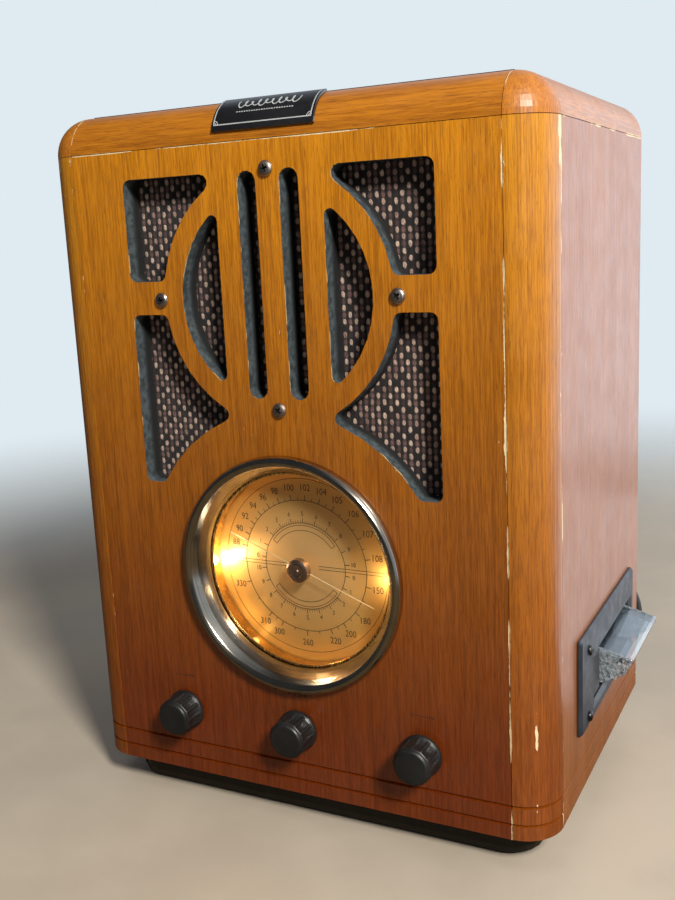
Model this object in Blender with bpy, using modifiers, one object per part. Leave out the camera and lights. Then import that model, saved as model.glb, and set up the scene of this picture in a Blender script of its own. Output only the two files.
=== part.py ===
"""Table radio in a wooden tombstone cabinet, with a cassette deck in its right side.

Every object in the collection "cathedral_radio" is one physical piece. Metres, +Z up, front towards -Y,
origin on the underside of the plinth, in the middle of the footprint.
"""
import math

import bmesh
import bpy
from mathutils import Matrix, Vector

# ---------------------------------------------------------------- driving dimensions
GAP = 0.0003            # clearance left between pieces that touch
WIDTH = 0.258
DEPTH = 0.189
ROUND = 0.019           # radius of every quarter-round moulding
PLINTH_HEIGHT = 0.018
PLINTH_INSET = 0.0115
SEAM_Z = 0.339          # where the top mouldings start
FRONT_THICK = 0.012
SIDE_THICK = 0.010
BACK_THICK = 0.004
BACK_RECESS = 0.005

FRONT_Y = -DEPTH / 2
REAR_Y = DEPTH / 2
HALF = WIDTH / 2
PANEL_HALF = HALF - ROUND
TOP_Z = SEAM_Z + ROUND
WOOD_Z = PLINTH_HEIGHT

GROOVE_HEIGHTS = (0.0254, 0.0346)
GROOVE_DEPTH = 0.0008

GRILLE_Z = 0.268        # centre of the round grille layout
GRILLE_INNER_R = 0.0504
GRILLE_OUTER_R = 0.0606
GRILLE_SIDE_X = 0.0806
GRILLE_TOP_Z = 0.3256
SLOT_X = 0.011
SLOT_WIDTH = 0.0099
SLOT_BOTTOM_Z = 0.2207

DIAL_Z = 0.134
DIAL_R = 0.060          # outer radius of the dial's bezel
DIAL_HOLE_R = 0.054
DIAL_PLATE_Y = FRONT_Y + 0.0155

KNOB_X = 0.067
KNOB_Z = 0.0535
KNOB_R = 0.0105
KNOB_LENGTH = 0.0140
SHAFT_R = 0.003
DRUM_R = 0.018
SPINDLE_R = 0.0045      # the drum is four times as large, so the pointer turns a quarter as far

DECK_Y = (FRONT_Y + 0.044, FRONT_Y + 0.165)
DECK_Z = (0.0515, 0.1005)
MOUTH_Y = (FRONT_Y + 0.070, FRONT_Y + 0.158)
MOUTH_Z = (0.0585, 0.0835)
FLAP_Y = (FRONT_Y + 0.0905, FRONT_Y + 0.1565)
FLAP_HINGE = (0.1272, 0.0790)    # x and z of the flap's axis
FLAP_DROOP = math.radians(14)    # how far the open flap hangs below level
WELL_X = (0.024, 0.1115)

CORD_R = 0.003
CORD_EXIT = (0.109, REAR_Y + 0.0153, 0.074)
CORD_ROUTE = (
    (0.1090, REAR_Y + 0.0156, 0.0740),
    (0.1095, REAR_Y + 0.0210, 0.0738),
    (0.1115, REAR_Y + 0.0300, 0.0710),
    (0.1150, REAR_Y + 0.0375, 0.0640),
    (0.1182, REAR_Y + 0.0412, 0.0545),
    (0.1196, REAR_Y + 0.0425, 0.0445),
    (0.1190, REAR_Y + 0.0430, 0.0335),
    (0.1163, REAR_Y + 0.0430, 0.0228),
    (0.1113, REAR_Y + 0.0430, 0.0135),
    (0.1040, REAR_Y + 0.0435, 0.0070),
    (0.0950, REAR_Y + 0.0445, 0.0038),
    (0.0850, REAR_Y + 0.0460, 0.0032),
    (0.0720, REAR_Y + 0.0470, 0.0032),
    (0.0400, REAR_Y + 0.0468, 0.0032),
    (0.0060, REAR_Y + 0.0464, 0.0032),
    (-0.0300, REAR_Y + 0.0458, 0.0032),
    (-0.0571, REAR_Y + 0.0452, 0.0032),
)
COIL_CENTRE = (-0.0800, REAR_Y + 0.0840)
COIL_MID_R = 0.033
COIL_HALF_WIDTH = 0.0092
COIL_HEIGHT = 0.0124


# ---------------------------------------------------------------- small tools
def clear_scene():
    for obj in list(bpy.data.objects):
        bpy.data.objects.remove(obj, do_unlink=True)


def new_collection(name):
    collection = bpy.data.collections.new(name)
    bpy.context.scene.collection.children.link(collection)
    return collection


def material(name, colour, roughness, metallic=0.0, transmission=0.0):
    mat = bpy.data.materials.new(name)
    mat.use_nodes = True
    shader = mat.node_tree.nodes["Principled BSDF"]
    shader.inputs["Base Color"].default_value = (*colour, 1.0)
    shader.inputs["Roughness"].default_value = roughness
    shader.inputs["Metallic"].default_value = metallic
    shader.inputs["Transmission Weight"].default_value = transmission
    return mat


def keep(obj, mat=None, collection=None):
    """Put an object in its collection and give it its material."""
    (collection or PARTS).objects.link(obj)
    if mat:
        obj.data.materials.clear()
        obj.data.materials.append(mat)
    return obj


def mesh_object(name, bm, smooth_angle=None):
    bmesh.ops.recalc_face_normals(bm, faces=bm.faces)
    mesh = bpy.data.meshes.new(name)
    bm.to_mesh(mesh)
    bm.free()
    if smooth_angle:
        mesh.shade_smooth()
        mesh.set_sharp_from_angle(angle=smooth_angle)
    return bpy.data.objects.new(name, mesh)


def cube(name, x, y, z):
    """A box between pairs of coordinates, as an object."""
    bm = bmesh.new()
    middle = Vector([(a + b) / 2 for a, b in (x, y, z)])
    size = Vector([b - a for a, b in (x, y, z)])
    matrix = Matrix.Translation(middle) @ Matrix.Diagonal((*size, 1.0))
    bmesh.ops.create_cube(bm, size=1.0, matrix=matrix)
    return mesh_object(name, bm)


def bevel(obj, width, segments=2, angle=math.radians(30)):
    mod = obj.modifiers.new("bevel", "BEVEL")
    mod.width = width
    mod.segments = segments
    mod.limit_method = "ANGLE"
    mod.angle_limit = angle
    return obj


def turned(name, profile, location, rotation=(math.pi / 2, 0, 0), steps=48, closed=False):
    """A profile of (radius, height) turned about the local Z axis.

    The profile runs down its outer side. The default rotation points local +Z at the front (-Y).
    """
    mesh = bpy.data.meshes.new(name)
    edges = [(i, i + 1) for i in range(len(profile) - 1)]
    if closed:
        edges.append((len(profile) - 1, 0))
    mesh.from_pydata([(r, 0, h) for r, h in profile], edges, [])
    obj = bpy.data.objects.new(name, mesh)
    mod = obj.modifiers.new("turn", "SCREW")
    mod.steps = steps
    mod.render_steps = steps
    mod.use_merge_vertices = True
    mod.merge_threshold = 0.00001
    mod.use_smooth_shade = True
    obj.location = location
    obj.rotation_euler = rotation
    return obj


def as_mesh(obj):
    """Turn a curve object into a welded mesh object with the same name and place."""
    bpy.context.scene.collection.objects.link(obj)
    bpy.context.view_layer.update()
    depsgraph = bpy.context.evaluated_depsgraph_get()
    mesh = bpy.data.meshes.new_from_object(obj.evaluated_get(depsgraph))
    matrix = obj.matrix_world.copy()
    name = obj.name
    bpy.data.objects.remove(obj, do_unlink=True)
    bm = bmesh.new()
    bm.from_mesh(mesh)
    bmesh.ops.remove_doubles(bm, verts=bm.verts, dist=0.00001)
    bmesh.ops.recalc_face_normals(bm, faces=bm.faces)
    bm.to_mesh(mesh)
    bm.free()
    mesh.name = name
    result = bpy.data.objects.new(name, mesh)
    result.matrix_world = matrix
    return result


def plate(name, loops, middle, thickness, rotation=(math.pi / 2, 0, 0)):
    """A flat outline with its holes, extruded. The default rotation stands it up facing the front."""
    curve = bpy.data.curves.new(name, "CURVE")
    curve.dimensions = "2D"
    curve.fill_mode = "BOTH"
    curve.extrude = thickness / 2
    for loop in loops:
        spline = curve.splines.new("POLY")
        spline.points.add(len(loop) - 1)
        spline.use_cyclic_u = True
        for point, (u, v) in zip(spline.points, loop):
            point.co = (u, v, 0, 1)
    obj = bpy.data.objects.new(name, curve)
    obj.location = middle
    obj.rotation_euler = rotation
    return as_mesh(obj)


SIDEWAYS = (math.pi / 2, 0, math.pi / 2)    # local X along +Y, local Y along +Z, local Z along +X


def cut(obj, cutter, operation="DIFFERENCE"):
    mod = obj.modifiers.new(operation.lower(), "BOOLEAN")
    mod.operation = operation
    mod.object = cutter
    mod.solver = "EXACT"
    return obj


def as_cutter(obj):
    keep(obj, collection=CUTTERS)
    obj.hide_render = True
    obj.display_type = "WIRE"
    return obj


def loft(name, loops, ring=False, smooth_angle=None):
    """Skin a row of loops with equally many points. A ring joins its last loop to its first."""
    bm = bmesh.new()
    rows = [[bm.verts.new(point) for point in loop] for loop in loops]
    count = len(rows[0])
    pairs = list(zip(rows, rows[1:]))
    if ring:
        pairs.append((rows[-1], rows[0]))
    for lower, upper in pairs:
        for i in range(count):
            j = (i + 1) % count
            bm.faces.new((lower[i], lower[j], upper[j], upper[i]))
    if not ring:
        bm.faces.new(rows[0])
        bm.faces.new(list(reversed(rows[-1])))
    return mesh_object(name, bm, smooth_angle)


# ---------------------------------------------------------------- outlines
def circle(radius, centre=(0.0, 0.0), count=24, start=0.0, sweep=2 * math.pi):
    whole = abs(sweep - 2 * math.pi) < 1e-9
    last = count if whole else count - 1
    turns = [start + sweep * i / last for i in range(count)]
    return [(centre[0] + radius * math.cos(a), centre[1] + radius * math.sin(a)) for a in turns]


def rectangle(u, v):
    return [(u[0], v[0]), (u[1], v[0]), (u[1], v[1]), (u[0], v[1])]


def rounded_rectangle(u, v, radius, count=4):
    corners = ((u[1], v[0], -90), (u[1], v[1], 0), (u[0], v[1], 90), (u[0], v[0], 180))
    points = []
    for cu, cv, start in corners:
        centre = (cu - math.copysign(radius, cu - sum(u) / 2), cv - math.copysign(radius, cv - sum(v) / 2))
        points += circle(radius, centre, count, math.radians(start), math.pi / 2)
    return points


def stadium(centre_u, width, v0, v1, count=8):
    radius = width / 2
    top = circle(radius, (centre_u, v1 - radius), count, 0.0, math.pi)
    bottom = circle(radius, (centre_u, v0 + radius), count, math.pi, math.pi)
    return top + bottom


def mirrored(loop):
    return [(-u, v) for u, v in reversed(loop)]


class Line:
    """A straight edge of an opening, which lies on the left of its direction."""

    def __init__(self, start, end):
        self.point = Vector(start)
        self.along = (Vector(end) - self.point).normalized()
        self.normal = Vector((-self.along.y, self.along.x))

    def meet(self, other, inset, near):
        origin = self.point + self.normal * inset
        if isinstance(other, Line):
            goal = other.point + other.normal * inset
            step = (goal - origin).dot(other.normal) / self.along.dot(other.normal)
            return origin + self.along * step
        return other.meet(self, inset, near)

    def touch(self, centre, radius):
        return centre - self.normal * radius

    def between(self, start, end):
        return [tuple(start), tuple(end)]


class Arc:
    """A round edge of an opening, which lies outside the circle (side 1) or inside it (side -1)."""

    def __init__(self, centre, radius, side):
        self.centre = Vector(centre)
        self.radius = radius
        self.side = side

    def meet(self, other, inset, near):
        reach = self.radius + self.side * inset
        if isinstance(other, Line):
            origin = other.point + other.normal * inset
            foot = (self.centre - origin).dot(other.along)
            away = (self.centre - origin).dot(other.normal)
            half = math.sqrt(reach ** 2 - away ** 2)
            found = [origin + other.along * (foot + sign * half) for sign in (-1, 1)]
        else:
            other_reach = other.radius + other.side * inset
            apart = other.centre - self.centre
            gap = apart.length
            along = (reach ** 2 - other_reach ** 2 + gap ** 2) / (2 * gap)
            half = math.sqrt(reach ** 2 - along ** 2)
            base = self.centre + apart / gap * along
            across = Vector((-apart.y, apart.x)) / gap
            found = [base + across * half * sign for sign in (-1, 1)]
        return min(found, key=lambda point: (point - near).length)

    def touch(self, centre, radius):
        return self.centre + (centre - self.centre).normalized() * self.radius

    def between(self, start, end):
        first = math.atan2(*(start - self.centre).yx)
        last = math.atan2(*(end - self.centre).yx)
        sweep = (last - first) % (2 * math.pi)
        if self.side > 0:
            sweep -= 2 * math.pi
        count = max(2, math.ceil(abs(sweep) / math.radians(9)) + 1)
        return circle(self.radius, self.centre, count, first, sweep)


def rounded_opening(edges, corners, radius, count=5):
    """Join edges, listed anticlockwise, with a fillet near each of the corners that end them."""
    total = len(edges)
    centres = []
    for i, near in enumerate(corners):
        following = edges[(i + 1) % total]
        centres.append(edges[i].meet(following, radius, Vector(near)))
    points = []
    for i, edge in enumerate(edges):
        start = edge.touch(centres[i - 1], radius)
        end = edge.touch(centres[i], radius)
        points += edge.between(start, end)
        leave = edges[(i + 1) % total].touch(centres[i], radius)
        first = math.atan2(*(end - centres[i]).yx)
        last = math.atan2(*(leave - centres[i]).yx)
        fillet = circle(radius, centres[i], count, first, (last - first) % (2 * math.pi))
        points += fillet[1:-1]
    return points


def grille_openings():
    """The eight cut-outs over the loudspeaker: two slots, two lens shapes and four corners."""
    middle = (0.0, GRILLE_Z)
    slot = stadium(SLOT_X, SLOT_WIDTH, SLOT_BOTTOM_Z, GRILLE_TOP_Z)
    lens_x = 0.028
    lens_half = math.sqrt(GRILLE_INNER_R ** 2 - lens_x ** 2)
    lens = rounded_opening(
        [Line((lens_x, GRILLE_Z + lens_half), (lens_x, GRILLE_Z - lens_half)), Arc(middle, GRILLE_INNER_R, -1)],
        [(lens_x, GRILLE_Z - lens_half), (lens_x, GRILLE_Z + lens_half)], 0.003)
    upper_z = GRILLE_Z + 0.0088
    side = GRILLE_SIDE_X
    upper = rounded_opening(
        [Line((side, GRILLE_TOP_Z), (0, GRILLE_TOP_Z)), Arc(middle, GRILLE_OUTER_R, 1),
         Line((0, upper_z), (side, upper_z)), Line((side, upper_z), (side, GRILLE_TOP_Z))],
        [(0.018, GRILLE_TOP_Z), (0.06, upper_z), (side, upper_z), (side, GRILLE_TOP_Z)], 0.004)
    lower_z = GRILLE_Z - 0.0072
    foot_z = 0.1765
    lower_r = 0.0814
    lower = rounded_opening(
        [Line((side, lower_z), (0, lower_z)), Arc(middle, GRILLE_OUTER_R, 1), Arc((0, DIAL_Z), lower_r, 1),
         Line((0, foot_z), (side, foot_z)), Line((side, foot_z), (side, lower_z))],
        [(0.06, lower_z), (0.025, 0.2125), (0.07, foot_z), (side, foot_z), (side, lower_z)], 0.0035)
    one_side = [slot, lens, upper, lower]
    return one_side + [mirrored(loop) for loop in one_side]


GRILLE_SCREWS = {
    "top": (0.0, 0.3259),
    "bottom": (0.0, 0.2156),
    "left": (-0.0624, GRILLE_Z),
    "right": (0.0624, GRILLE_Z),
}
BACK_SCREWS = [(x, z) for z in (0.040, 0.322) for x in (-0.112, 0.112)]


def backing_outline():
    """The outline shared by the grille cloth and its board: a rectangle with room for the dial."""
    bottom = 0.168
    clear_r = 0.0615
    half = 0.092
    start = math.asin((bottom - DIAL_Z) / clear_r)
    notch = circle(clear_r, (0, DIAL_Z), 17, math.pi - start, 2 * start - math.pi)
    return [(-half, bottom)] + notch + [(half, bottom), (half, 0.332), (-half, 0.332)]


# ---------------------------------------------------------------- cabinet
def groove_cutters():
    """A thin square bar along the front, round the corners and along both sides, at each groove."""
    cutters = []
    arc_right = circle(ROUND, (PANEL_HALF, FRONT_Y + ROUND), 13, -math.pi / 2, math.pi / 2)
    right = arc_right + [(HALF, REAR_Y + 0.010)]
    route = mirrored(right) + right
    for number, height in enumerate(GROOVE_HEIGHTS):
        curve = bpy.data.curves.new(f"groove_{number}", "CURVE")
        curve.dimensions = "3D"
        curve.bevel_depth = GROOVE_DEPTH
        curve.bevel_resolution = 0
        curve.use_fill_caps = True
        spline = curve.splines.new("POLY")
        spline.points.add(len(route) - 1)
        for point, (x, y) in zip(spline.points, route):
            point.co = (x, y, height, 1)
        cutters.append(as_cutter(as_mesh(bpy.data.objects.new(f"groove_{number}", curve))))
    return cutters


def quarter_round(name, centre, start_degrees, middle, length, rotation):
    """A quarter of a round bar, standing or lying by its rotation."""
    edge = GAP / 2
    arc = circle(ROUND - edge, (0, 0), 13, math.radians(start_degrees), math.pi / 2)
    u = math.cos(math.radians(start_degrees + 45))
    v = math.sin(math.radians(start_degrees + 45))
    shift = (math.copysign(edge, u), math.copysign(edge, v))
    loop = [(centre[0] + shift[0], centre[1] + shift[1])]
    loop += [(centre[0] + shift[0] + a, centre[1] + shift[1] + b) for a, b in arc]
    piece = plate(name, [loop], middle, length, rotation)
    piece.data.shade_smooth()
    piece.data.set_sharp_from_angle(angle=math.radians(30))
    return keep(piece, WOOD)


def build_mouldings(grooves):
    flat = (0, 0, 0)
    post_height = SEAM_Z - WOOD_Z - GAP
    post_z = (SEAM_Z + WOOD_Z) / 2
    seam_y = FRONT_Y + ROUND
    for side, start in ((-1, 180), (1, 270)):
        name = "corner_moulding_right" if side > 0 else "corner_moulding_left"
        post = quarter_round(name, (side * PANEL_HALF, seam_y), start, (0, 0, post_z), post_height, flat)
        for groove in grooves:
            cut(post, groove)
        name = "top_side_moulding_right" if side > 0 else "top_side_moulding_left"
        length = REAR_Y - seam_y - GAP
        middle = (0, (REAR_Y + seam_y) / 2, 0)
        # facing the front, local X is world X and local Y is world Z
        quarter_round(name, (side * PANEL_HALF, SEAM_Z), 0 if side > 0 else 90, middle, length,
                      (math.pi / 2, 0, 0))
        name = "top_corner_right" if side > 0 else "top_corner_left"
        bm = bmesh.new()
        bmesh.ops.create_uvsphere(bm, u_segments=48, v_segments=24, radius=ROUND - GAP / 2)
        ball = mesh_object(name, bm, math.radians(30))
        ball.location = (side * (PANEL_HALF + GAP / 2), seam_y - GAP / 2, SEAM_Z + GAP / 2)
        reach = (0, side * 0.03) if side > 0 else (side * 0.03, 0)
        room = cube(name + "_room", reach, (-0.03, 0), (0, 0.03))
        room.location = ball.location
        cut(keep(ball, WOOD), as_cutter(room), "INTERSECT")
    # local X is world Y, local Y is world Z
    quarter_round("top_front_moulding", (seam_y, SEAM_Z), 90, (0, 0, 0), 2 * PANEL_HALF - GAP, SIDEWAYS)


def build_panels(grooves):
    inner = PANEL_HALF - GAP / 2
    dial_hole = circle(DIAL_HOLE_R, (0, DIAL_Z), 48)
    shaft_holes = [circle(0.0042, (x, KNOB_Z), 12) for x in (-KNOB_X, 0, KNOB_X)]
    screw_holes = [circle(0.0019, place, 8) for place in GRILLE_SCREWS.values()]
    outline = rectangle((-inner, inner), (WOOD_Z, SEAM_Z - GAP / 2))
    front = plate("front_panel", [outline] + grille_openings() + [dial_hole] + shaft_holes + screw_holes,
                  (0, FRONT_Y + FRONT_THICK / 2, 0), FRONT_THICK)
    keep(front, WOOD)
    side_y = (FRONT_Y + ROUND + GAP / 2, REAR_Y)
    side_z = (WOOD_Z, SEAM_Z - GAP / 2)
    mouth = rectangle((MOUTH_Y[0] - 0.002, MOUTH_Y[1] + 0.002), (MOUTH_Z[0] - 0.002, MOUTH_Z[1] + 0.002))
    sides = []
    for side in (-1, 1):
        name = "side_panel_right" if side > 0 else "side_panel_left"
        holes = [mouth] + [circle(0.0016, place, 8) for place in DECK_SCREWS] if side > 0 else []
        middle = (side * (HALF - SIDE_THICK / 2), 0, 0)
        sides.append(keep(plate(name, [rectangle(side_y, side_z)] + holes, middle, SIDE_THICK, SIDEWAYS), WOOD))
    for panel in [front] + sides:
        for groove in grooves:
            cut(panel, groove)
    top = cube("top_panel", (-inner, inner), side_y, (SEAM_Z, TOP_Z + 0.0006))
    keep(bevel(top, 0.0004, 1), WOOD)
    floor_x = HALF - SIDE_THICK - GAP
    cover_y = REAR_Y - BACK_RECESS - BACK_THICK
    keep(cube("base_board", (-floor_x, floor_x), (FRONT_Y + ROUND + GAP, cover_y - GAP),
              (WOOD_Z, WOOD_Z + 0.012)), RAW_WOOD)
    build_plinth()
    build_back(floor_x, cover_y)


def build_plinth():
    """A board with round corners and a bullnose edge, under the cabinet."""
    x = HALF - PLINTH_INSET
    y = DEPTH / 2 - PLINTH_INSET
    top = PLINTH_HEIGHT - GAP
    nose = 0.006
    levels = [(nose * 0.8, 0.0), (nose * 0.25, nose * 0.35), (0.0, nose), (0.0, top - nose),
              (nose * 0.25, top - nose * 0.35), (nose * 0.8, top)]
    loops = []
    for inset, z in levels:
        loop = rounded_rectangle((-x + inset, x - inset), (-y + inset, y - inset), 0.018 - inset, 7)
        loops.append([(u, v, z) for u, v in loop])
    keep(loft("plinth", loops, smooth_angle=math.radians(40)), BLACK_PAINT)


def build_back(floor_x, cover_y):
    vents = []
    for row_z in (0.225, 0.120):
        for i in range(7):
            vents.append(stadium((i - 3) * 0.013, 0.005, row_z, row_z + 0.055, 3))
    holes = [circle(0.0016, place, 8) for place in BACK_SCREWS]
    holes.append(circle(0.0052, (CORD_EXIT[0], CORD_EXIT[2]), 12))
    outline = rectangle((-floor_x, floor_x), (WOOD_Z + GAP, SEAM_Z - GAP))
    middle = (0, cover_y + BACK_THICK / 2, 0)
    keep(plate("back_cover", [outline] + vents + holes, middle, BACK_THICK), HARDBOARD)
    for number, (x, z) in enumerate(BACK_SCREWS, 1):
        screw(f"back_screw_{number}", (x, REAR_Y - BACK_RECESS + GAP, z), (-math.pi / 2, 0, 0), 0.0030, 0.0120)


def screw(name, location, rotation, head_r, shank):
    """A pan-head screw with a cross recess. Its head sits on local Z = 0 and its shank runs down from there."""
    shank_r = head_r * 0.42
    profile = [(0, head_r * 0.62), (head_r * 0.55, head_r * 0.52), (head_r * 0.9, head_r * 0.28), (head_r, 0),
               (shank_r, 0), (shank_r, -shank), (0, -shank - shank_r)]
    body = keep(turned(name, profile, location, rotation, steps=10), SCREW_STEEL)
    arm = head_r * 0.42
    half = head_r * 0.11
    cross = [(half, half), (half, arm), (-half, arm), (-half, half), (-arm, half), (-arm, -half),
             (-half, -half), (-half, -arm), (half, -arm), (half, -half), (arm, -half), (arm, half)]
    recess = plate(name + "_recess", [cross], (0, 0, 0), head_r * 0.6, (0, 0, 0))
    recess.matrix_world = (body_matrix(location, rotation) @ Matrix.Translation((0, 0, head_r * 0.6))
                           @ Matrix.Rotation(math.radians(13), 4, "Z"))
    cut(body, as_cutter(recess))
    return body


def body_matrix(location, rotation):
    from_euler = Matrix.Rotation(rotation[2], 4, "Z") @ Matrix.Rotation(rotation[1], 4, "Y")
    return Matrix.Translation(location) @ from_euler @ Matrix.Rotation(rotation[0], 4, "X")


# ---------------------------------------------------------------- grille and loudspeaker
def build_grille():
    cloth_y = FRONT_Y + FRONT_THICK + GAP
    cloth_thick = 0.0010
    board_y = cloth_y + cloth_thick + GAP
    board_thick = 0.006
    holes = [circle(0.0019, place, 8) for place in GRILLE_SCREWS.values()]
    cloth_middle = (0, cloth_y + cloth_thick / 2, 0)
    keep(plate("grille_cloth", [backing_outline()] + holes, cloth_middle, cloth_thick), CLOTH)
    speaker_hole = circle(0.044, (0, GRILLE_Z), 32)
    keep(plate("baffle_board", [backing_outline(), speaker_hole] + holes,
               (0, board_y + board_thick / 2, 0), board_thick), RAW_WOOD)
    for name, (x, z) in GRILLE_SCREWS.items():
        screw("grille_screw_" + name, (x, FRONT_Y - GAP, z), (math.pi / 2, 0, 0), 0.0036, 0.0165)
    speaker_y = board_y + board_thick + GAP
    place = (0, speaker_y, GRILLE_Z)
    frame = [(0.051, 0), (0.051, -0.0012), (0.0455, -0.0016), (0.032, -0.0200), (0.032, -0.0260),
             (0.0142, -0.0260), (0.0142, -0.0245), (0.0305, -0.0245), (0.0305, -0.0195), (0.0440, 0)]
    keep(turned("speaker_frame", frame, place, steps=20, closed=True), ZINC)
    cone = [(0, -0.0125), (0.008, -0.0135), (0.0125, -0.0165), (0.0370, -0.0035), (0.0390, -0.0012),
            (0.0408, -0.0012), (0.0408, -0.0024), (0.0385, -0.0050), (0.0140, -0.0185), (0.0095, -0.0230),
            (0, -0.0230)]
    keep(turned("speaker_cone", cone, place, steps=20), CONE_PAPER)
    magnet = [(0, -0.0263), (0.0270, -0.0263), (0.0280, -0.0275), (0.0280, -0.0390), (0.0270, -0.0400),
              (0, -0.0400)]
    keep(turned("speaker_magnet", magnet, place, steps=20), FERRITE)


# ---------------------------------------------------------------- dial
def build_dial():
    place = (0, FRONT_Y, DIAL_Z)
    # heights are towards the viewer, so behind the panel's face they are negative
    bezel = [(0.0575, 0.0056), (0.0592, 0.0046), (DIAL_R, 0.0025), (DIAL_R, GAP), (0.0532, GAP),
             (0.0532, -0.0030), (0.0516, -0.0070), (0.0500, -0.0066), (0.0530, 0.0005), (0.0552, 0.0048)]
    keep(turned("dial_bezel", bezel, place, steps=40, closed=True), CHROME)
    lip = [(0.0500, -0.0074), (0.0508, -0.0082), (0.0508, -0.0152), (0.0497, -0.0152), (0.0497, -0.0090),
           (0.0488, -0.0082), (0.0490, -0.0074)]
    keep(turned("dial_lip", lip, place, steps=32, closed=True), BRASS)
    dome_rise = 0.0042
    edge_r = 0.0492
    edge_h = -0.0062
    steps = 4
    outer = [(edge_r * i / steps, edge_h + dome_rise * (1 - (i / steps) ** 2)) for i in range(steps + 1)]
    inner = [(0.0482 * i / steps, -0.0073 + dome_rise * (1 - (i / steps) ** 2)) for i in range(steps, -1, -1)]
    keep(turned("dial_lens", outer + [(edge_r, -0.0071)] + inner, place, steps=32), CLEAR)
    disc = plate("dial_plate", [circle(0.0536, (0, DIAL_Z), 48), circle(0.0020, (0, DIAL_Z), 10)],
                 (0, DIAL_PLATE_Y + 0.0004, 0), 0.0008)
    keep(disc, GOLD)
    hub = [(0, -0.0062), (0.0045, -0.0062), (0.0060, -0.0068), (0.0060, -0.0102), (0, -0.0102)]
    keep(turned("pointer_hub", hub, place, steps=28), HUB_METAL)
    tip = 0.0425
    needle = [(-tip, -0.00025), (-0.0035, -0.0006), (-0.0025, -0.0030), (0.0025, -0.0030), (0.0035, -0.0006),
              (tip, -0.00025), (tip, 0.00025), (0.0035, 0.0006), (0.0025, 0.0030), (-0.0025, 0.0030),
              (-0.0035, 0.0006), (-tip, 0.00025)]
    pointer = plate("dial_pointer", [needle, circle(0.0018, count=10)], (0, 0, 0), 0.0004)
    pointer.matrix_world = (Matrix.Translation((0, FRONT_Y + 0.0107, DIAL_Z))
                            @ Matrix.Rotation(math.radians(22), 4, "Y") @ Matrix.Rotation(math.pi / 2, 4, "X"))
    keep(pointer, NEEDLE)
    shaft = [(0, -0.0105), (0.0015, -0.0105), (0.0015, -0.0470), (0, -0.0470)]
    keep(turned("dial_shaft", shaft, place, steps=12), STEEL)
    drum = [(DRUM_R, -0.0300), (DRUM_R, -0.0308), (DRUM_R - 0.0015, -0.0314), (DRUM_R - 0.0015, -0.0334),
            (DRUM_R, -0.0340), (DRUM_R, -0.0348), (0.0018, -0.0348), (0.0018, -0.0300)]
    keep(turned("dial_drum", drum, place, steps=20, closed=True), WHITE_PLASTIC)
    body_y = FRONT_Y + 0.0473
    body = cube("tuning_capacitor", (-0.015, 0.015), (body_y, body_y + 0.022), (DIAL_Z - 0.013, DIAL_Z + 0.013))
    keep(bevel(body, 0.0012, 1), ZINC)
    build_belt()


def build_belt():
    """The dial cord: a thin loop round the tuning spindle and the pointer's drum."""
    wheels = [((KNOB_X, KNOB_Z), SPINDLE_R - 0.0010), ((0.0, DIAL_Z), DRUM_R - 0.0015)]
    (small, small_r), (large, large_r) = wheels
    apart = Vector(large) - Vector(small)
    heading = math.atan2(apart.y, apart.x)

    def loop(extra):
        tilt = math.acos((large_r - small_r) / apart.length)
        first = circle(large_r + extra, large, 20, heading - math.pi + tilt, 2 * math.pi - 2 * tilt)
        second = circle(small_r + extra, small, 10, heading + math.pi - tilt, 2 * tilt)
        return first + second

    keep(plate("dial_belt", [loop(GAP + 0.0008), loop(GAP)], (0, FRONT_Y + 0.0324, 0), 0.0010), CORD_YARN)


# ---------------------------------------------------------------- knobs
def build_knob(name, x, stand_off, mat):
    """A fluted barrel with a flat face, a stepped rim and a blind bore for its shaft."""
    flutes = 12
    per_flute = 3
    count = flutes * per_flute
    # radius, height above the panel, depth of the fluting
    levels = [(0.0080, 1.0, 0.0), (0.0086, 0.95, 0.0), (0.0093, 0.90, 0.0), (0.0096, 0.84, 0.0007),
              (0.0100, 0.16, 0.0007), (KNOB_R, 0.12, 0.0), (KNOB_R, 0.0, 0.0)]
    bore_r = SHAFT_R + GAP
    loops = []
    for radius, share, depth in levels:
        loop = []
        for i in range(count):
            turn = 2 * math.pi * i / count
            pull = depth if i % per_flute == 1 else 0.0
            reach = radius - pull
            loop.append((reach * math.cos(turn), reach * math.sin(turn), share * KNOB_LENGTH))
        loops.append(loop)
    for height in (0.0, KNOB_LENGTH * 0.75):
        loops.append([(u, v, height) for u, v in circle(bore_r, count=count + 1)[:-1]])
    knob = loft(name, loops, smooth_angle=math.radians(24))
    knob.location = (x, FRONT_Y - stand_off, KNOB_Z)
    knob.rotation_euler = (math.pi / 2, 0, 0)
    return keep(knob, mat)


def build_shaft(name, x, stand_off, back):
    """A round shaft from inside the knob to a control behind the panel."""
    front = stand_off + KNOB_LENGTH * 0.75 - GAP
    profile = [(0, front), (SHAFT_R, front), (SHAFT_R, -back), (0, -back)]
    return keep(turned(name, profile, (x, FRONT_Y, KNOB_Z), steps=16), STEEL)


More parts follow.
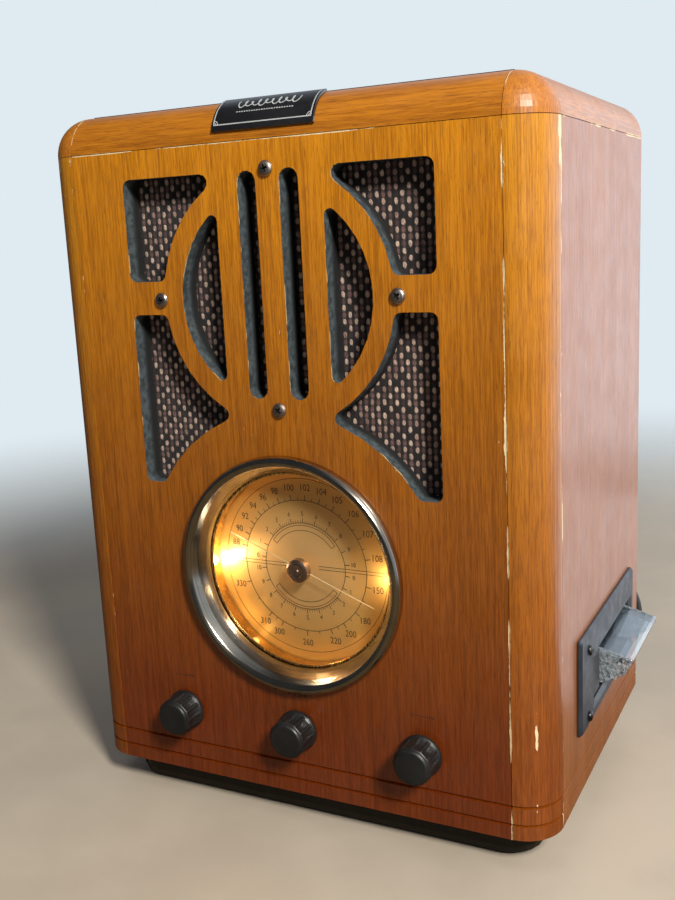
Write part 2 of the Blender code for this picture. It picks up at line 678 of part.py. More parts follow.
def build_controls():
    near = 0.0008
    tuning_near = 0.0025
    build_knob("volume_knob", -KNOB_X, near, KNOB_PLASTIC)
    build_knob("selector_knob", 0.0, near, KNOB_PLASTIC)
    build_knob("tuning_knob", KNOB_X, tuning_near, KNOB_PLASTIC)
    back = FRONT_THICK + 0.0010
    build_shaft("volume_shaft", -KNOB_X, near, back)
    build_shaft("selector_shaft", 0.0, near, back)
    front = tuning_near + KNOB_LENGTH * 0.75 - GAP
    tuning = [(0, front), (SHAFT_R, front), (SHAFT_R, -0.0295), (SPINDLE_R, -0.0300), (SPINDLE_R, -0.0308),
              (SPINDLE_R - 0.0010, -0.0314), (SPINDLE_R - 0.0010, -0.0334), (SPINDLE_R, -0.0340),
              (SPINDLE_R, -0.0348), (0, -0.0348)]
    keep(turned("tuning_shaft", tuning, (KNOB_X, FRONT_Y, KNOB_Z), steps=12), STEEL)
    can = [(0, 0), (0.0118, 0), (0.0118, -0.0095), (0.0105, -0.0110), (0, -0.0110)]
    pot_y = FRONT_Y + back + GAP
    keep(turned("volume_potentiometer", can, (-KNOB_X, pot_y, KNOB_Z), steps=20), ZINC)
    switch = cube("selector_switch", (-0.014, 0.014), (pot_y, pot_y + 0.012), (KNOB_Z - 0.011, KNOB_Z + 0.011))
    keep(bevel(switch, 0.0010, 1), BROWN_PLASTIC)


# ---------------------------------------------------------------- badge
def build_badge():
    """A curved plate that follows the top front moulding."""
    inner_r = ROUND + GAP
    outer_r = inner_r + 0.0012
    first = math.radians(167)
    sweep = math.radians(-63)
    centre = (FRONT_Y + ROUND, SEAM_Z)
    low = circle(inner_r, centre, 9, first, sweep)
    high = circle(outer_r, centre, 9, first, sweep)
    badge = plate("badge", [low + list(reversed(high))], (-0.001, 0, 0), 0.0528, SIDEWAYS)
    badge.data.shade_smooth()
    badge.data.set_sharp_from_angle(angle=math.radians(30))
    keep(badge, BLACK_GLOSS)


# ---------------------------------------------------------------- cassette deck
DECK_SCREWS = [(FRONT_Y + 0.0585, 0.0915), (FRONT_Y + 0.0585, 0.0570)]


def build_deck():
    x_wall = HALF + GAP
    corner = 0.0012

    def loop(y, z, inset, x, radius=corner):
        points = rounded_rectangle((y[0] + inset, y[1] - inset), (z[0] + inset, z[1] - inset), radius, 3)
        return [(x, u, v) for u, v in points]

    sleeve = -0.0014
    loops = [loop(DECK_Y, DECK_Z, 0, x_wall), loop(DECK_Y, DECK_Z, 0, x_wall + 0.0010),
             loop(DECK_Y, DECK_Z, 0.0012, x_wall + 0.0023), loop(MOUTH_Y, MOUTH_Z, -0.0022, x_wall + 0.0023),
             loop(MOUTH_Y, MOUTH_Z, 0, x_wall + 0.0008), loop(MOUTH_Y, MOUTH_Z, 0, x_wall - 0.0155),
             loop(MOUTH_Y, MOUTH_Z, sleeve, x_wall - 0.0155), loop(MOUTH_Y, MOUTH_Z, sleeve, x_wall)]
    bezel = keep(loft("cassette_bezel", loops, ring=True), DECK_PLASTIC)
    names = ("bezel_screw_upper", "bezel_screw_lower")
    for name, (y, z) in zip(names, DECK_SCREWS):
        place = (x_wall + 0.0023 + GAP, y, z)
        screw(name, place, (0, math.pi / 2, 0), 0.0027, 0.0080)
        hole = cutter_cylinder(name + "_hole", 0.0016, (x_wall, y, z), 0.01)
        cut(bezel, hole)
    build_flap()
    build_eject()
    build_well()


def cutter_cylinder(name, radius, place, length):
    """A round cutter along X."""
    bm = bmesh.new()
    bmesh.ops.create_cone(bm, cap_ends=True, segments=10, radius1=radius, radius2=radius, depth=length)
    hole = mesh_object(name, bm)
    hole.location = place
    hole.rotation_euler = (0, math.pi / 2, 0)
    return as_cutter(hole)


def build_flap():
    """A clear door with a cheek at each end, on stub pins in line with its axis, shown open."""
    plate_t = 0.0022
    reach = 0.0190
    cheek_t = 0.0010
    # side view with the hinge at the origin and the plate along +u; cheeks hang down in a curve
    strip = [(0.0008, 0.0010), (reach, 0.0010), (reach + 0.0008, 0.0002), (reach + 0.0008, 0.0010 - plate_t),
             (0.0008, 0.0010 - plate_t)]
    curve_low = circle(0.0185, (0.0, 0.0), 6, math.radians(-84), math.radians(48))
    cheek = [(-0.0018, 0.0006), (0.0, 0.0018), (reach, 0.0010), (reach + 0.0008, 0.0002),
             (reach + 0.0008, -0.0014), (reach - 0.0016, -0.0088)]
    cheek += list(reversed(curve_low)) + [(-0.0018, -0.0100)]
    turn = Matrix.Translation((FLAP_HINGE[0], 0, FLAP_HINGE[1])) @ Matrix.Rotation(FLAP_DROOP, 4, "Y")
    upright = Matrix.Rotation(math.pi / 2, 4, "X")
    middle_y = sum(FLAP_Y) / 2
    width = FLAP_Y[1] - FLAP_Y[0]
    flap = plate("cassette_flap", [strip], (0, 0, 0), width - 2 * cheek_t + 0.0002)
    flap.matrix_world = turn @ Matrix.Translation((0, middle_y, 0)) @ upright
    keep(flap, CLEAR)
    for number, y in enumerate((FLAP_Y[0] + cheek_t / 2, FLAP_Y[1] - cheek_t / 2)):
        end = plate(f"flap_cheek_{number}", [cheek], (0, 0, 0), cheek_t)
        end.matrix_world = turn @ Matrix.Translation((0, y, 0)) @ upright
        cut(flap, as_cutter(end), "UNION")


def build_eject():
    """The eject key beside the flap: a cap in the mouth with a stem that runs into the deck."""
    y = (MOUTH_Y[0] + 0.0040, MOUTH_Y[0] + 0.0160)
    z = (MOUTH_Z[0] + 0.0012, MOUTH_Z[1] - 0.0012)
    face = HALF + 0.0012
    mid = sum(z) / 2
    profile = [(face, z[0] + 0.001), (face, z[1] - 0.001), (face - 0.001, z[1]), (face - 0.009, z[1]),
               (face - 0.009, mid + 0.003), (face - 0.030, mid + 0.003), (face - 0.030, mid - 0.003),
               (face - 0.009, mid - 0.003), (face - 0.009, z[0]), (face - 0.001, z[0])]
    key = plate("eject_key", [profile], (0, sum(y) / 2, 0), y[1] - y[0])
    keep(key, DARK_PLASTIC)


def build_well():
    """The deck's steel channel, which holds the cassette flat, on legs down to the base board."""
    y = (FLAP_Y[0] - 0.0020, FLAP_Y[1] + 0.0020)
    wall = 0.0015
    floor = 0.0560
    low = WOOD_Z + 0.012 + GAP
    top = MOUTH_Z[1] + 0.001
    outline = [(y[0], low), (y[0] + wall, low), (y[0] + wall, floor), (y[1] - wall, floor), (y[1] - wall, low),
               (y[1], low), (y[1], top), (y[0], top)]
    inside = rectangle((y[0] + wall, y[1] - wall), (floor + wall, top - wall))
    well = plate("cassette_well", [outline, inside], (sum(WELL_X) / 2, 0, 0), WELL_X[1] - WELL_X[0], SIDEWAYS)
    keep(well, ZINC)
    reel_gap = 0.0425
    middle_y = sum(FLAP_Y) / 2
    for name, x in (("reel_spindle_supply", 0.0520), ("reel_spindle_takeup", 0.0520 + reel_gap)):
        bm = bmesh.new()
        bmesh.ops.create_cone(bm, cap_ends=True, segments=16, radius1=0.0075, radius2=0.0075, depth=0.010)
        hole = mesh_object(name + "_hole", bm)
        hole.location = (x, middle_y, floor)
        cut(well, as_cutter(hole))
        profile = [(0, 0.0103), (0.0018, 0.0100), (0.0034, 0.0080), (0.0034, 0.0030), (0.0068, 0.0022),
                   (0.0068, 0.0), (0.0125, -0.0015), (0.0125, -0.0060), (0.0030, -0.0060), (0.0030, -0.0120),
                   (0, -0.0120)]
        keep(turned(name, profile, (x, middle_y, floor), (0, 0, 0), steps=12), WHITE_PLASTIC)


# ---------------------------------------------------------------- electronics
def build_electronics():
    floor = WOOD_Z + 0.012 + GAP
    board = cube("circuit_board", (-0.112, 0.010), (-0.050, 0.060), (floor + 0.006, floor + 0.0076))
    keep(board, BOARD_GREEN)
    blocks = [((-0.100, -0.080), (-0.040, -0.030), 0.006), ((-0.060, -0.036), (-0.020, -0.012), 0.004),
              ((-0.030, -0.012), (0.020, 0.038), 0.012), ((-0.095, -0.055), (0.042, 0.052), 0.020)]
    for number, (x, y, height) in enumerate(blocks):
        block = cube(f"component_{number}", x, y, (floor + 0.0070, floor + 0.0076 + height))
        cut(board, as_cutter(block), "UNION")
    for number, x in enumerate((-0.108, 0.006)):
        post = cube(f"standoff_{number}", (x, x + 0.003), (-0.040, 0.050), (floor, floor + 0.0070))
        cut(board, as_cutter(post), "UNION")
    core = cube("transformer", (0.052, 0.094), (-0.050, -0.018), (floor, floor + 0.0380))
    keep(core, LAMINATION)
    winding = cube("winding", (0.058, 0.088), (-0.056, -0.012), (floor + 0.0070, floor + 0.0310))
    cut(core, as_cutter(winding), "UNION")


# ---------------------------------------------------------------- mains lead
def smooth_route(points, spacing):
    """Catmull-Rom curve through the points, read off at an even spacing."""
    knots = [Vector(p) for p in points]
    ends = [knots[0] * 2 - knots[1]] + knots + [knots[-1] * 2 - knots[-2]]
    dense = []
    for a, b, c, d in zip(ends, ends[1:], ends[2:], ends[3:]):
        for i in range(12):
            t = i / 12
            dense.append(0.5 * (2 * b + (c - a) * t + (2 * a - 5 * b + 4 * c - d) * t * t
                                + (3 * b - a - 3 * c + d) * t ** 3))
    dense.append(knots[-1])
    total = sum((q - p).length for p, q in zip(dense, dense[1:]))
    count = max(2, round(total / spacing))
    result = [dense[0]]
    travelled = 0.0
    for p, q in zip(dense, dense[1:]):
        step = (q - p).length
        while len(result) < count and travelled + step >= total * len(result) / count:
            share = (total * len(result) / count - travelled) / step
            result.append(p.lerp(q, share))
        travelled += step
    result.append(dense[-1])
    return result


def build_lead():
    x, _, z = CORD_EXIT
    cover = REAR_Y - BACK_RECESS
    relief = [(0, 0.0200), (0.0036, 0.0200), (0.0042, 0.0190), (0.0052, 0.0050), (0.0078, 0.0035),
              (0.0080, GAP), (0.0048, GAP), (0.0048, -0.0044), (0.0058, -0.0050), (0.0050, -0.0080),
              (0, -0.0080)]
    keep(turned("cord_strain_relief", relief, (x, cover, z), (-math.pi / 2, 0, 0), steps=14), RUBBER)
    curve = bpy.data.curves.new("mains_cord", "CURVE")
    curve.dimensions = "3D"
    curve.bevel_depth = CORD_R
    curve.bevel_resolution = 2
    curve.use_fill_caps = True
    points = smooth_route(CORD_ROUTE, 0.0085)
    spline = curve.splines.new("POLY")
    spline.points.add(len(points) - 1)
    for point, place in zip(spline.points, points):
        point.co = (*place, 1)
    cord = as_mesh(bpy.data.objects.new("mains_cord", curve))
    cord.data.shade_smooth()
    keep(cord, RUBBER)
    half = COIL_HALF_WIDTH
    low = 0.0003
    high = low + COIL_HEIGHT
    soft = 0.0026
    inner_r = COIL_MID_R - half
    outer_r = COIL_MID_R + half
    ring = [(outer_r - soft, high), (outer_r, high - soft), (outer_r, low + soft), (outer_r - soft, low),
            (inner_r + soft, low), (inner_r, low + soft), (inner_r, high - soft), (inner_r + soft, high)]
    keep(turned("cord_coil", ring, (*COIL_CENTRE, 0), (0, 0, 0), steps=28, closed=True), RUBBER)
    build_plug()


def build_plug():
    """A flat two-pin plug lying beside the coil, its sleeve towards the cord."""
    start = COIL_CENTRE[0] + 0.012
    y = COIL_CENTRE[1] + COIL_MID_R + 0.0175
    # distance along the plug, half width, half height
    sections = [(0.0, 0.0034, 0.0030), (0.010, 0.0042, 0.0036), (0.014, 0.0056, 0.0050),
                (0.019, 0.0078, 0.0062), (0.033, 0.0085, 0.0066), (0.036, 0.0068, 0.0058)]
    centre_z = 0.0069
    loops = []
    for along, wide, high in sections:
        loop = rounded_rectangle((-wide, wide), (-high, high), min(wide, high) * 0.75, 4)
        loops.append([(start + along, y + u, centre_z + v) for u, v in loop])
    body = keep(loft("mains_plug", loops, smooth_angle=math.radians(40)), RUBBER)
    for number, side in enumerate((-1, 1)):
        bm = bmesh.new()
        bmesh.ops.create_cone(bm, cap_ends=True, segments=10, radius1=0.0020, radius2=0.0020, depth=0.022)
        pin = mesh_object(f"pin_{number}", bm)
        pin.location = (start + 0.036 + 0.008, y + side * 0.0048, centre_z)
        pin.rotation_euler = (0, math.pi / 2, 0)
        cut(body, as_cutter(pin), "UNION")


# ---------------------------------------------------------------- build
clear_scene()
PARTS = new_collection("cathedral_radio")
CUTTERS = new_collection("cutters")

WOOD = material("veneer", (0.42, 0.16, 0.035), 0.30)
RAW_WOOD = material("fibreboard", (0.36, 0.25, 0.15), 0.85)
BLACK_PAINT = material("black_lacquer", (0.012, 0.012, 0.013), 0.18)
HARDBOARD = material("black_hardboard", (0.03, 0.028, 0.026), 0.75)
CLOTH = material("grille_cloth", (0.06, 0.045, 0.04), 0.95)
CHROME = material("chrome", (0.75, 0.75, 0.76), 0.12, 1.0)
BRASS = material("brass", (0.80, 0.60, 0.28), 0.22, 1.0)
GOLD = material("dial_gold", (0.75, 0.52, 0.22), 0.45, 0.4)
CLEAR = material("clear_acrylic", (0.95, 0.97, 1.0), 0.05, 0.0, 0.95)
HUB_METAL = material("dark_hub", (0.16, 0.12, 0.10), 0.30, 1.0)
NEEDLE = material("pale_needle", (0.85, 0.72, 0.45), 0.40)
STEEL = material("steel", (0.55, 0.55, 0.56), 0.35, 1.0)
SCREW_STEEL = material("screw_steel", (0.62, 0.60, 0.58), 0.25, 1.0)
ZINC = material("zinc_plate", (0.50, 0.51, 0.52), 0.45, 1.0)
CONE_PAPER = material("cone_paper", (0.04, 0.04, 0.04), 0.95)
FERRITE = material("ferrite", (0.07, 0.07, 0.075), 0.60)
WHITE_PLASTIC = material("white_plastic", (0.75, 0.74, 0.70), 0.45)
BROWN_PLASTIC = material("phenolic", (0.16, 0.08, 0.04), 0.50)
CORD_YARN = material("dial_cord", (0.55, 0.50, 0.40), 0.90)
KNOB_PLASTIC = material("knob_plastic", (0.035, 0.038, 0.038), 0.38)
BLACK_GLOSS = material("badge_black", (0.010, 0.010, 0.012), 0.12)
DECK_PLASTIC = material("deck_grey", (0.11, 0.12, 0.14), 0.42)
DARK_PLASTIC = material("key_plastic", (0.020, 0.020, 0.022), 0.45)
BOARD_GREEN = material("circuit_board", (0.05, 0.18, 0.08), 0.50)
LAMINATION = material("laminations", (0.20, 0.19, 0.18), 0.55, 0.8)
RUBBER = material("black_rubber", (0.015, 0.015, 0.016), 0.55)

GROOVES = groove_cutters()
build_panels(GROOVES)
build_mouldings(GROOVES)
build_grille()
build_dial()
build_controls()
build_badge()
build_deck()
build_electronics()
build_lead()
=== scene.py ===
"""Looks for the wooden table radio: veneer, dial, knobs, deck, grille cloth and mains lead.

Everything is in the row frame: metres, +Z up, the dial faces -Y, z = 0 is the table.
"""
import math

import bmesh
import bpy
from mathutils import Matrix, Vector


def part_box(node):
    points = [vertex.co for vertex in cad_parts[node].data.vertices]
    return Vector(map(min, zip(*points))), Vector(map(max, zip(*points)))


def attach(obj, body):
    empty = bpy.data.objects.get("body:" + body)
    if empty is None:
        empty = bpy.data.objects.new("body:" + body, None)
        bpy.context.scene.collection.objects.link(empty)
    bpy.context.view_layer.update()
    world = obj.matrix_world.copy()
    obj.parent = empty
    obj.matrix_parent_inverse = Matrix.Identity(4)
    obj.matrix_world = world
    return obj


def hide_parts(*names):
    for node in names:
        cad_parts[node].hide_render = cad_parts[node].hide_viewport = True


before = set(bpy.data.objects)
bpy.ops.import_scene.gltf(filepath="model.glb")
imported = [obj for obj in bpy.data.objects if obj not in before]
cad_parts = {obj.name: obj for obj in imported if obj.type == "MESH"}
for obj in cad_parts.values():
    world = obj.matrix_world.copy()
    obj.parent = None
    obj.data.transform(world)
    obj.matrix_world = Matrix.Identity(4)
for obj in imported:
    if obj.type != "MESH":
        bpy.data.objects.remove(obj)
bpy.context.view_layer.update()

FRONT_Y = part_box("front_panel")[0].y
REAR_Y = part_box("side_panel_right")[1].y
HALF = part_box("side_panel_right")[1].x
ROUND = 0.019
PANEL_HALF = HALF - ROUND
SEAM_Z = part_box("front_panel")[1].z
DIAL_Z = 0.134
KNOB_Z = 0.0535
KNOB_GAP = 0.067

# ---------------------------------------------------------------- camera
CAMERA_PLACE = (0.2447, -0.5158, 0.2959)
CAMERA_TURN = 0.4728        # about the vertical, towards the dial
CAMERA_TILT = -0.204       # looking down
CAMERA_ROLL = 0.0483


def build_camera():
    """It stands to the right, a little above the dial, and looks down at the front and the right side."""
    data = bpy.data.cameras.new("camera")
    data.sensor_fit = "HORIZONTAL"
    data.sensor_width = 36.0
    data.lens = 55.88
    data.clip_start = 0.02
    camera = bpy.data.objects.new("camera", data)
    turn = Matrix.Rotation(CAMERA_TURN, 4, "Z") @ Matrix.Rotation(CAMERA_TILT, 4, "X")
    turn = turn @ Matrix.Rotation(CAMERA_ROLL, 4, "Y") @ Matrix.Rotation(math.pi / 2, 4, "X")
    camera.matrix_world = Matrix.Translation(CAMERA_PLACE) @ turn
    bpy.context.scene.camera = show(camera)


# ---------------------------------------------------------------- shader tools
class Graph:
    """A node tree whose nodes are written as expressions."""

    def __init__(self, owner):
        owner.use_nodes = True
        self.nodes = owner.node_tree.nodes
        self.links = owner.node_tree.links

    def put(self, socket, value):
        if isinstance(value, bpy.types.NodeSocket):
            self.links.new(value, socket)
        elif isinstance(value, (tuple, list)) and len(value) == 3 and socket.type == "RGBA":
            socket.default_value = (*value, 1.0)
        else:
            socket.default_value = value

    def node(self, kind, inputs=(), out=0, **props):
        made = self.nodes.new("ShaderNode" + kind)
        for key, value in props.items():
            setattr(made, key, value)
        for key, value in dict(inputs).items():
            self.put(made.inputs[key], value)
        return made.outputs[out]

    def blend(self, share, a, b):
        return self.node("MixShader", {0: share, 1: a, 2: b})

    def surface(self, shader):
        output = next(node for node in self.nodes if node.type.startswith("OUTPUT"))
        self.links.new(shader, output.inputs["Surface"])

    def math(self, operation, a, b=0.0):
        return self.node("Math", {0: a, 1: b}, operation=operation)

    def add(self, a, b):
        return self.math("ADD", a, b)

    def times(self, a, b):
        return self.math("MULTIPLY", a, b)

    def less(self, a, b):
        return self.math("SUBTRACT", a, b)

    def away(self, value, middle):
        """Distance of a coordinate from a value."""
        return self.math("ABSOLUTE", self.less(value, middle))

    def length(self, a, b):
        return self.math("SQRT", self.add(self.times(a, a), self.times(b, b)))

    def separate(self, vector):
        made = self.nodes.new("ShaderNodeSeparateXYZ")
        self.links.new(vector, made.inputs[0])
        return made.outputs

    def noise(self, vector, scale=1.0, detail=3.0, roughness=0.5, distortion=0.0):
        return self.node("TexNoise", {"Vector": vector, "Scale": scale, "Detail": detail,
                                      "Roughness": roughness, "Distortion": distortion})

    def ramp(self, value, low, high, to_low=0.0, to_high=1.0, kind="LINEAR"):
        """Map a range to another, clamped."""
        return self.node("MapRange", {"Value": value, "From Min": low, "From Max": high,
                                      "To Min": to_low, "To Max": to_high}, interpolation_type=kind)

    def spread(self, *settings):
        """A ramp with a smooth start and end."""
        return self.ramp(*settings, kind="SMOOTHSTEP")

    def mix(self, factor, a, b, mode="MIX"):
        return self.node("Mix", {0: factor, 6: a, 7: b}, 2, data_type="RGBA", blend_type=mode)


class Shader(Graph):
    """A Principled material, patterned by the place in the row frame."""

    def __init__(self, name, roughness=0.5, metallic=0.0, **settings):
        self.mat = bpy.data.materials.new(name)
        super().__init__(self.mat)
        self.bsdf = self.nodes["Principled BSDF"]
        self.bsdf.inputs["Roughness"].default_value = roughness
        self.bsdf.inputs["Metallic"].default_value = metallic
        for key, value in settings.items():
            self.bsdf.inputs[key.replace("_", " ")].default_value = value
        self.place = self.node("TexCoord", out="Object")

    def scaled(self, scale):
        return self.node("Mapping", {"Vector": self.place, "Scale": scale})

    def axes(self):
        return self.separate(self.place)

    def colour(self, value):
        self.put(self.bsdf.inputs["Base Color"], value)

    def roughness(self, value):
        self.put(self.bsdf.inputs["Roughness"], value)

    def bump(self, height, distance, strength=1.0):
        normal = self.node("Bump", {"Height": height, "Distance": distance, "Strength": strength})
        self.links.new(normal, self.bsdf.inputs["Normal"])


def stretched(along, share):
    """A scale that squeezes one axis, so a noise runs along it."""
    scale = [1.0, 1.0, 1.0]
    scale[along] = share
    return tuple(scale)


BARE_WOOD = (0.8, 0.64, 0.38)
GROOVE_HEIGHTS = (0.0254, 0.0346)
VARNISH = 0.42


def veneer(name, along, seams=(), low=(0.15, 0.03, 0.004), high=(0.6, 0.232, 0.01), dull=0.0):
    """Varnished veneer, painted darker and redder towards the floor as shade from the light above, with bare
    wood along its worn seams.

    A seam is (axis, place, reach, amount) and may go on with the zone it is worn in: (axis, low, high).
    """
    s = Shader(name, Coat_Weight=VARNISH, Coat_Roughness=0.14 + dull, Coat_IOR=1.5)
    axes = s.axes()
    groove = 0.0
    for level in GROOVE_HEIGHTS:
        groove = s.math("MAXIMUM", groove, s.spread(s.away(axes[2], level), 0.001, 0.0006))
    flat = s.less(1.0, groove)
    s.put(s.bsdf.inputs["Coat Weight"], s.times(flat, VARNISH))
    s.put(s.bsdf.inputs["Specular IOR Level"], s.times(flat, 0.5))
    # Painted shade: the body runs from the low colour at the floor to the high colour at the top.
    height = s.math("POWER", s.ramp(axes[2], 0.045, 0.34), 1.35)
    fibre = s.noise(s.scaled(stretched(along, 0.04)), 2100.0, 2.0)
    streak = s.noise(s.scaled(stretched(along, 0.012)), 700.0, 4.0, 0.6)
    band = s.noise(s.scaled(stretched(along, 0.03)), 120.0, 3.0, 0.55)
    figure = s.noise(s.scaled(stretched(along, 0.3)), 26.0, 3.0, 0.5, 0.8)
    pores = s.spread(s.noise(s.scaled(stretched(along, 0.075)), 2600.0, 1.0), 0.6, 0.7)
    tone = s.add(s.times(streak, 0.34), s.add(s.times(fibre, 0.46), s.times(band, 0.2)))
    tone = s.spread(tone, 0.36, 0.62)
    body = s.mix(height, low, high)
    shade = s.mix(tone, (0.66, 0.6, 0.6), (1.14, 1.16, 1.25))
    body = s.mix(1.0, body, shade, "MULTIPLY")
    body = s.mix(s.spread(figure, 0.36, 0.66, 0.0, 0.14), body, (0.16, 0.04, 0.004))
    body = s.mix(s.times(pores, 0.32), body, (0.06, 0.016, 0.003))
    chips = 0.0
    grit = s.noise(s.scaled((1.0, 1.0, 0.35)), 620.0, 5.0, 0.65)
    patches = s.noise(s.place, 34.0, 2.0)
    for axis, place, reach, amount, *zone in seams:
        near = s.spread(s.away(axes[axis], place), reach, 0.0)
        level = s.add(s.times(near, 0.42), s.times(s.spread(patches, 0.4, 0.64), 0.3))
        level = s.add(level, s.times(grit, 0.62))
        worn = s.spread(level, 0.99 - amount, 1.03 - amount)
        if zone:
            beside, start, end = zone
            fade = (end - start) * 0.15
            worn = s.times(worn, s.times(s.spread(axes[beside], start, start + fade),
                                         s.spread(axes[beside], end, end - fade)))
        chips = s.math("MAXIMUM", chips, worn)
    if seams:
        body = s.mix(chips, body, BARE_WOOD)
    # Painted shade: the colour is darkened inside the grooves.
    body = s.mix(s.times(groove, 0.25), body, (0.03, 0.008, 0.002))
    s.colour(body)
    rough = s.spread(s.noise(s.place, 60.0, 4.0), 0.3, 0.7, 0.34 + dull, 0.46 + dull)
    s.roughness(s.math("MAXIMUM", rough, s.times(chips, 0.8)) if seams else rough)
    relief = s.add(s.times(streak, 0.5), s.times(fibre, 0.5))
    relief = s.less(relief, s.times(pores, 0.5))
    if seams:
        relief = s.less(relief, s.times(chips, 1.5))
    s.bump(relief, 0.00008, 0.7)
    return s.mat


def speckled(name, colour, other, scale, roughness, bump, metallic=0.0, amount=0.5, **settings):
    """A moulded, cast or painted surface: two close tones, uneven gloss and a fine relief."""
    s = Shader(name, roughness, metallic, **settings)
    grain = s.noise(s.place, scale, 4.0, 0.6)
    cloud = s.noise(s.place, scale * 0.06, 3.0)
    s.colour(s.mix(s.times(s.spread(s.add(s.times(grain, 0.5), s.times(cloud, 0.5)), 0.35, 0.65), amount),
                   colour, other))
    s.roughness(s.spread(cloud, 0.3, 0.7, roughness * 0.85, min(1.0, roughness * 1.25)))
    s.bump(grain, bump, 0.6)
    return s.mat


def plated(name, colour, other, roughness, scratch=0.25, along=None):
    """Bright metal with fine scratches and a little tarnish."""
    s = Shader(name, roughness, 1.0)
    tarnish = s.noise(s.place, 130.0, 5.0, 0.6)
    fine = s.noise(s.scaled(along or (1.0, 1.0, 0.06)), 1900.0, 2.0)
    s.colour(s.mix(s.spread(tarnish, 0.42, 0.7), colour, other))
    level = s.add(s.times(s.spread(fine, 0.45, 0.75), scratch), roughness)
    s.roughness(s.add(level, s.times(s.spread(tarnish, 0.45, 0.75), roughness)))
    s.bump(fine, 0.00001, 0.25)
    return s.mat


def brushed_round(name, colour, other, roughness, centre, pitch, depth=0.00002):
    """Metal turned on a lathe: fine rings about an axis that points to the front."""
    s = Shader(name, roughness, 1.0)
    axes = s.axes()
    radius = s.length(s.less(axes[0], centre[0]), s.less(axes[2], centre[1]))
    rings = s.node("TexNoise", {"W": s.times(radius, 1.0 / pitch), "Scale": 1.0, "Detail": 2.0},
                   noise_dimensions="1D")
    cloud = s.noise(s.place, 90.0, 4.0)
    s.colour(s.mix(s.spread(s.add(s.times(rings, 0.6), s.times(cloud, 0.4)), 0.35, 0.65), colour, other))
    s.roughness(s.spread(rings, 0.3, 0.7, roughness * 0.8, roughness * 1.3))
    s.bump(rings, depth, 0.5)
    return s.mat


def clear_plastic(name, tint, strength):
    """Thin clear acrylic: what is behind shows, and the surface mirrors more at a grazing angle."""
    mat = bpy.data.materials.new(name)
    g = Graph(mat)
    g.nodes.remove(g.nodes["Principled BSDF"])
    dust = g.node("TexNoise", {"Vector": g.node("TexCoord", out="Object"), "Scale": 700.0, "Detail": 5.0})
    rough = g.ramp(dust, 0.45, 0.8, 0.02, 0.16)
    steep = g.math("POWER", g.node("LayerWeight", {"Blend": 0.5}, "Facing"), 4.0)
    share = g.ramp(steep, 0.0, 1.0, strength, 0.9)
    g.surface(g.blend(share, g.node("BsdfTransparent", {"Color": tint}),
                      g.node("BsdfGlossy", {"Color": (1.0, 1.0, 1.0), "Roughness": rough})))
    return mat


def cheek_acrylic(hinge_x):
    """The door's cloudy cheeks: a rough cast relief, with painted bright and dark glints away from the hinge.
    """
    s = Shader("flap_cheek_acrylic", 0.05, 0.0, Transmission_Weight=0.72, IOR=1.49, Coat_Weight=1.0)
    painted_glint = s.noise(s.place, 400.0, 2.0, 0.5, 1.2)
    painted_dark_glint = s.noise(s.scaled((1.0, 1.6, 1.0)), 330.0, 2.0, 0.5, 0.8)
    outer = s.spread(s.axes()[0], hinge_x + 0.003, hinge_x + 0.01)
    # Painted highlights and reflections: white and near-black spots in the base colour, on the part away from
    # the hinge.
    pale = s.mix(s.times(s.spread(painted_glint, 0.56, 0.62), outer), (0.62, 0.69, 0.75), (1.0, 1.0, 1.0))
    s.colour(s.mix(s.times(s.spread(painted_dark_glint, 0.58, 0.64), outer), pale, (0.1, 0.13, 0.17)))
    s.roughness(s.spread(painted_glint, 0.4, 0.7, 0.03, 0.12))
    s.bump(s.node("TexVoronoi", {"Vector": s.place, "Scale": 430.0}), 0.0011, 1.0)
    return s.mat


def cloth_material():
    """Basket weave: pale and dark floats in turn, like a chessboard, each one domed."""
    cell = 0.0031
    s = Shader("woven_grille_cloth", 0.92, 0.0, Sheen_Weight=0.25, Sheen_Roughness=0.4)
    wobble = s.node("TexNoise", {"Vector": s.place, "Scale": 160.0, "Detail": 2.0}, out=1)
    push = s.node("VectorMath", {0: wobble, 1: (0.5, 0.5, 0.5)}, operation="SUBTRACT")
    push = s.node("VectorMath", {0: push, "Scale": 0.0012}, operation="SCALE")
    moved = s.node("VectorMath", {0: s.place, 1: push}, operation="ADD")
    split = s.separate(moved)
    u = s.times(split[0], 1 / cell)
    v = s.times(split[2], 1 / cell)
    parity = s.math("PINGPONG", s.add(s.math("FLOOR", u), s.math("FLOOR", v)), 1.0)
    fu = s.away(s.math("FRACT", u), 0.5)
    fv = s.away(s.math("FRACT", v), 0.5)
    pale_reach = s.length(s.times(fu, 2.5), s.times(fv, 1.65))
    pale_dot = s.times(s.spread(pale_reach, 1.0, 0.55), parity)
    cells = s.node("CombineXYZ", {0: s.math("FLOOR", u), 1: s.math("FLOOR", v), 2: 0.0})
    lot = s.node("TexWhiteNoise", {"Vector": cells}, noise_dimensions="3D")
    strands = s.noise(s.scaled((1.0, 1.0, 0.18)), 3600.0, 2.0)
    pale = s.mix(lot, (0.68, 0.5, 0.4), (0.26, 0.155, 0.135))
    dim_dot = s.times(s.spread(pale_reach, 1.15, 0.35), s.spread(lot, 0.15, 0.95))
    dark = s.mix(dim_dot, (0.016, 0.012, 0.013), (0.19, 0.105, 0.098))
    body = s.mix(pale_dot, dark, pale)
    body = s.mix(s.times(s.spread(strands, 0.45, 0.65), 0.55), body, (0.01, 0.008, 0.008))
    s.colour(body)
    weft = s.spread(fu, 0.5, 0.1)
    height = s.add(pale_dot, s.times(s.times(weft, s.less(1.0, parity)), 0.5))
    s.bump(s.add(height, s.times(strands, 0.25)), 0.0006, 1.0)
    return s.mat


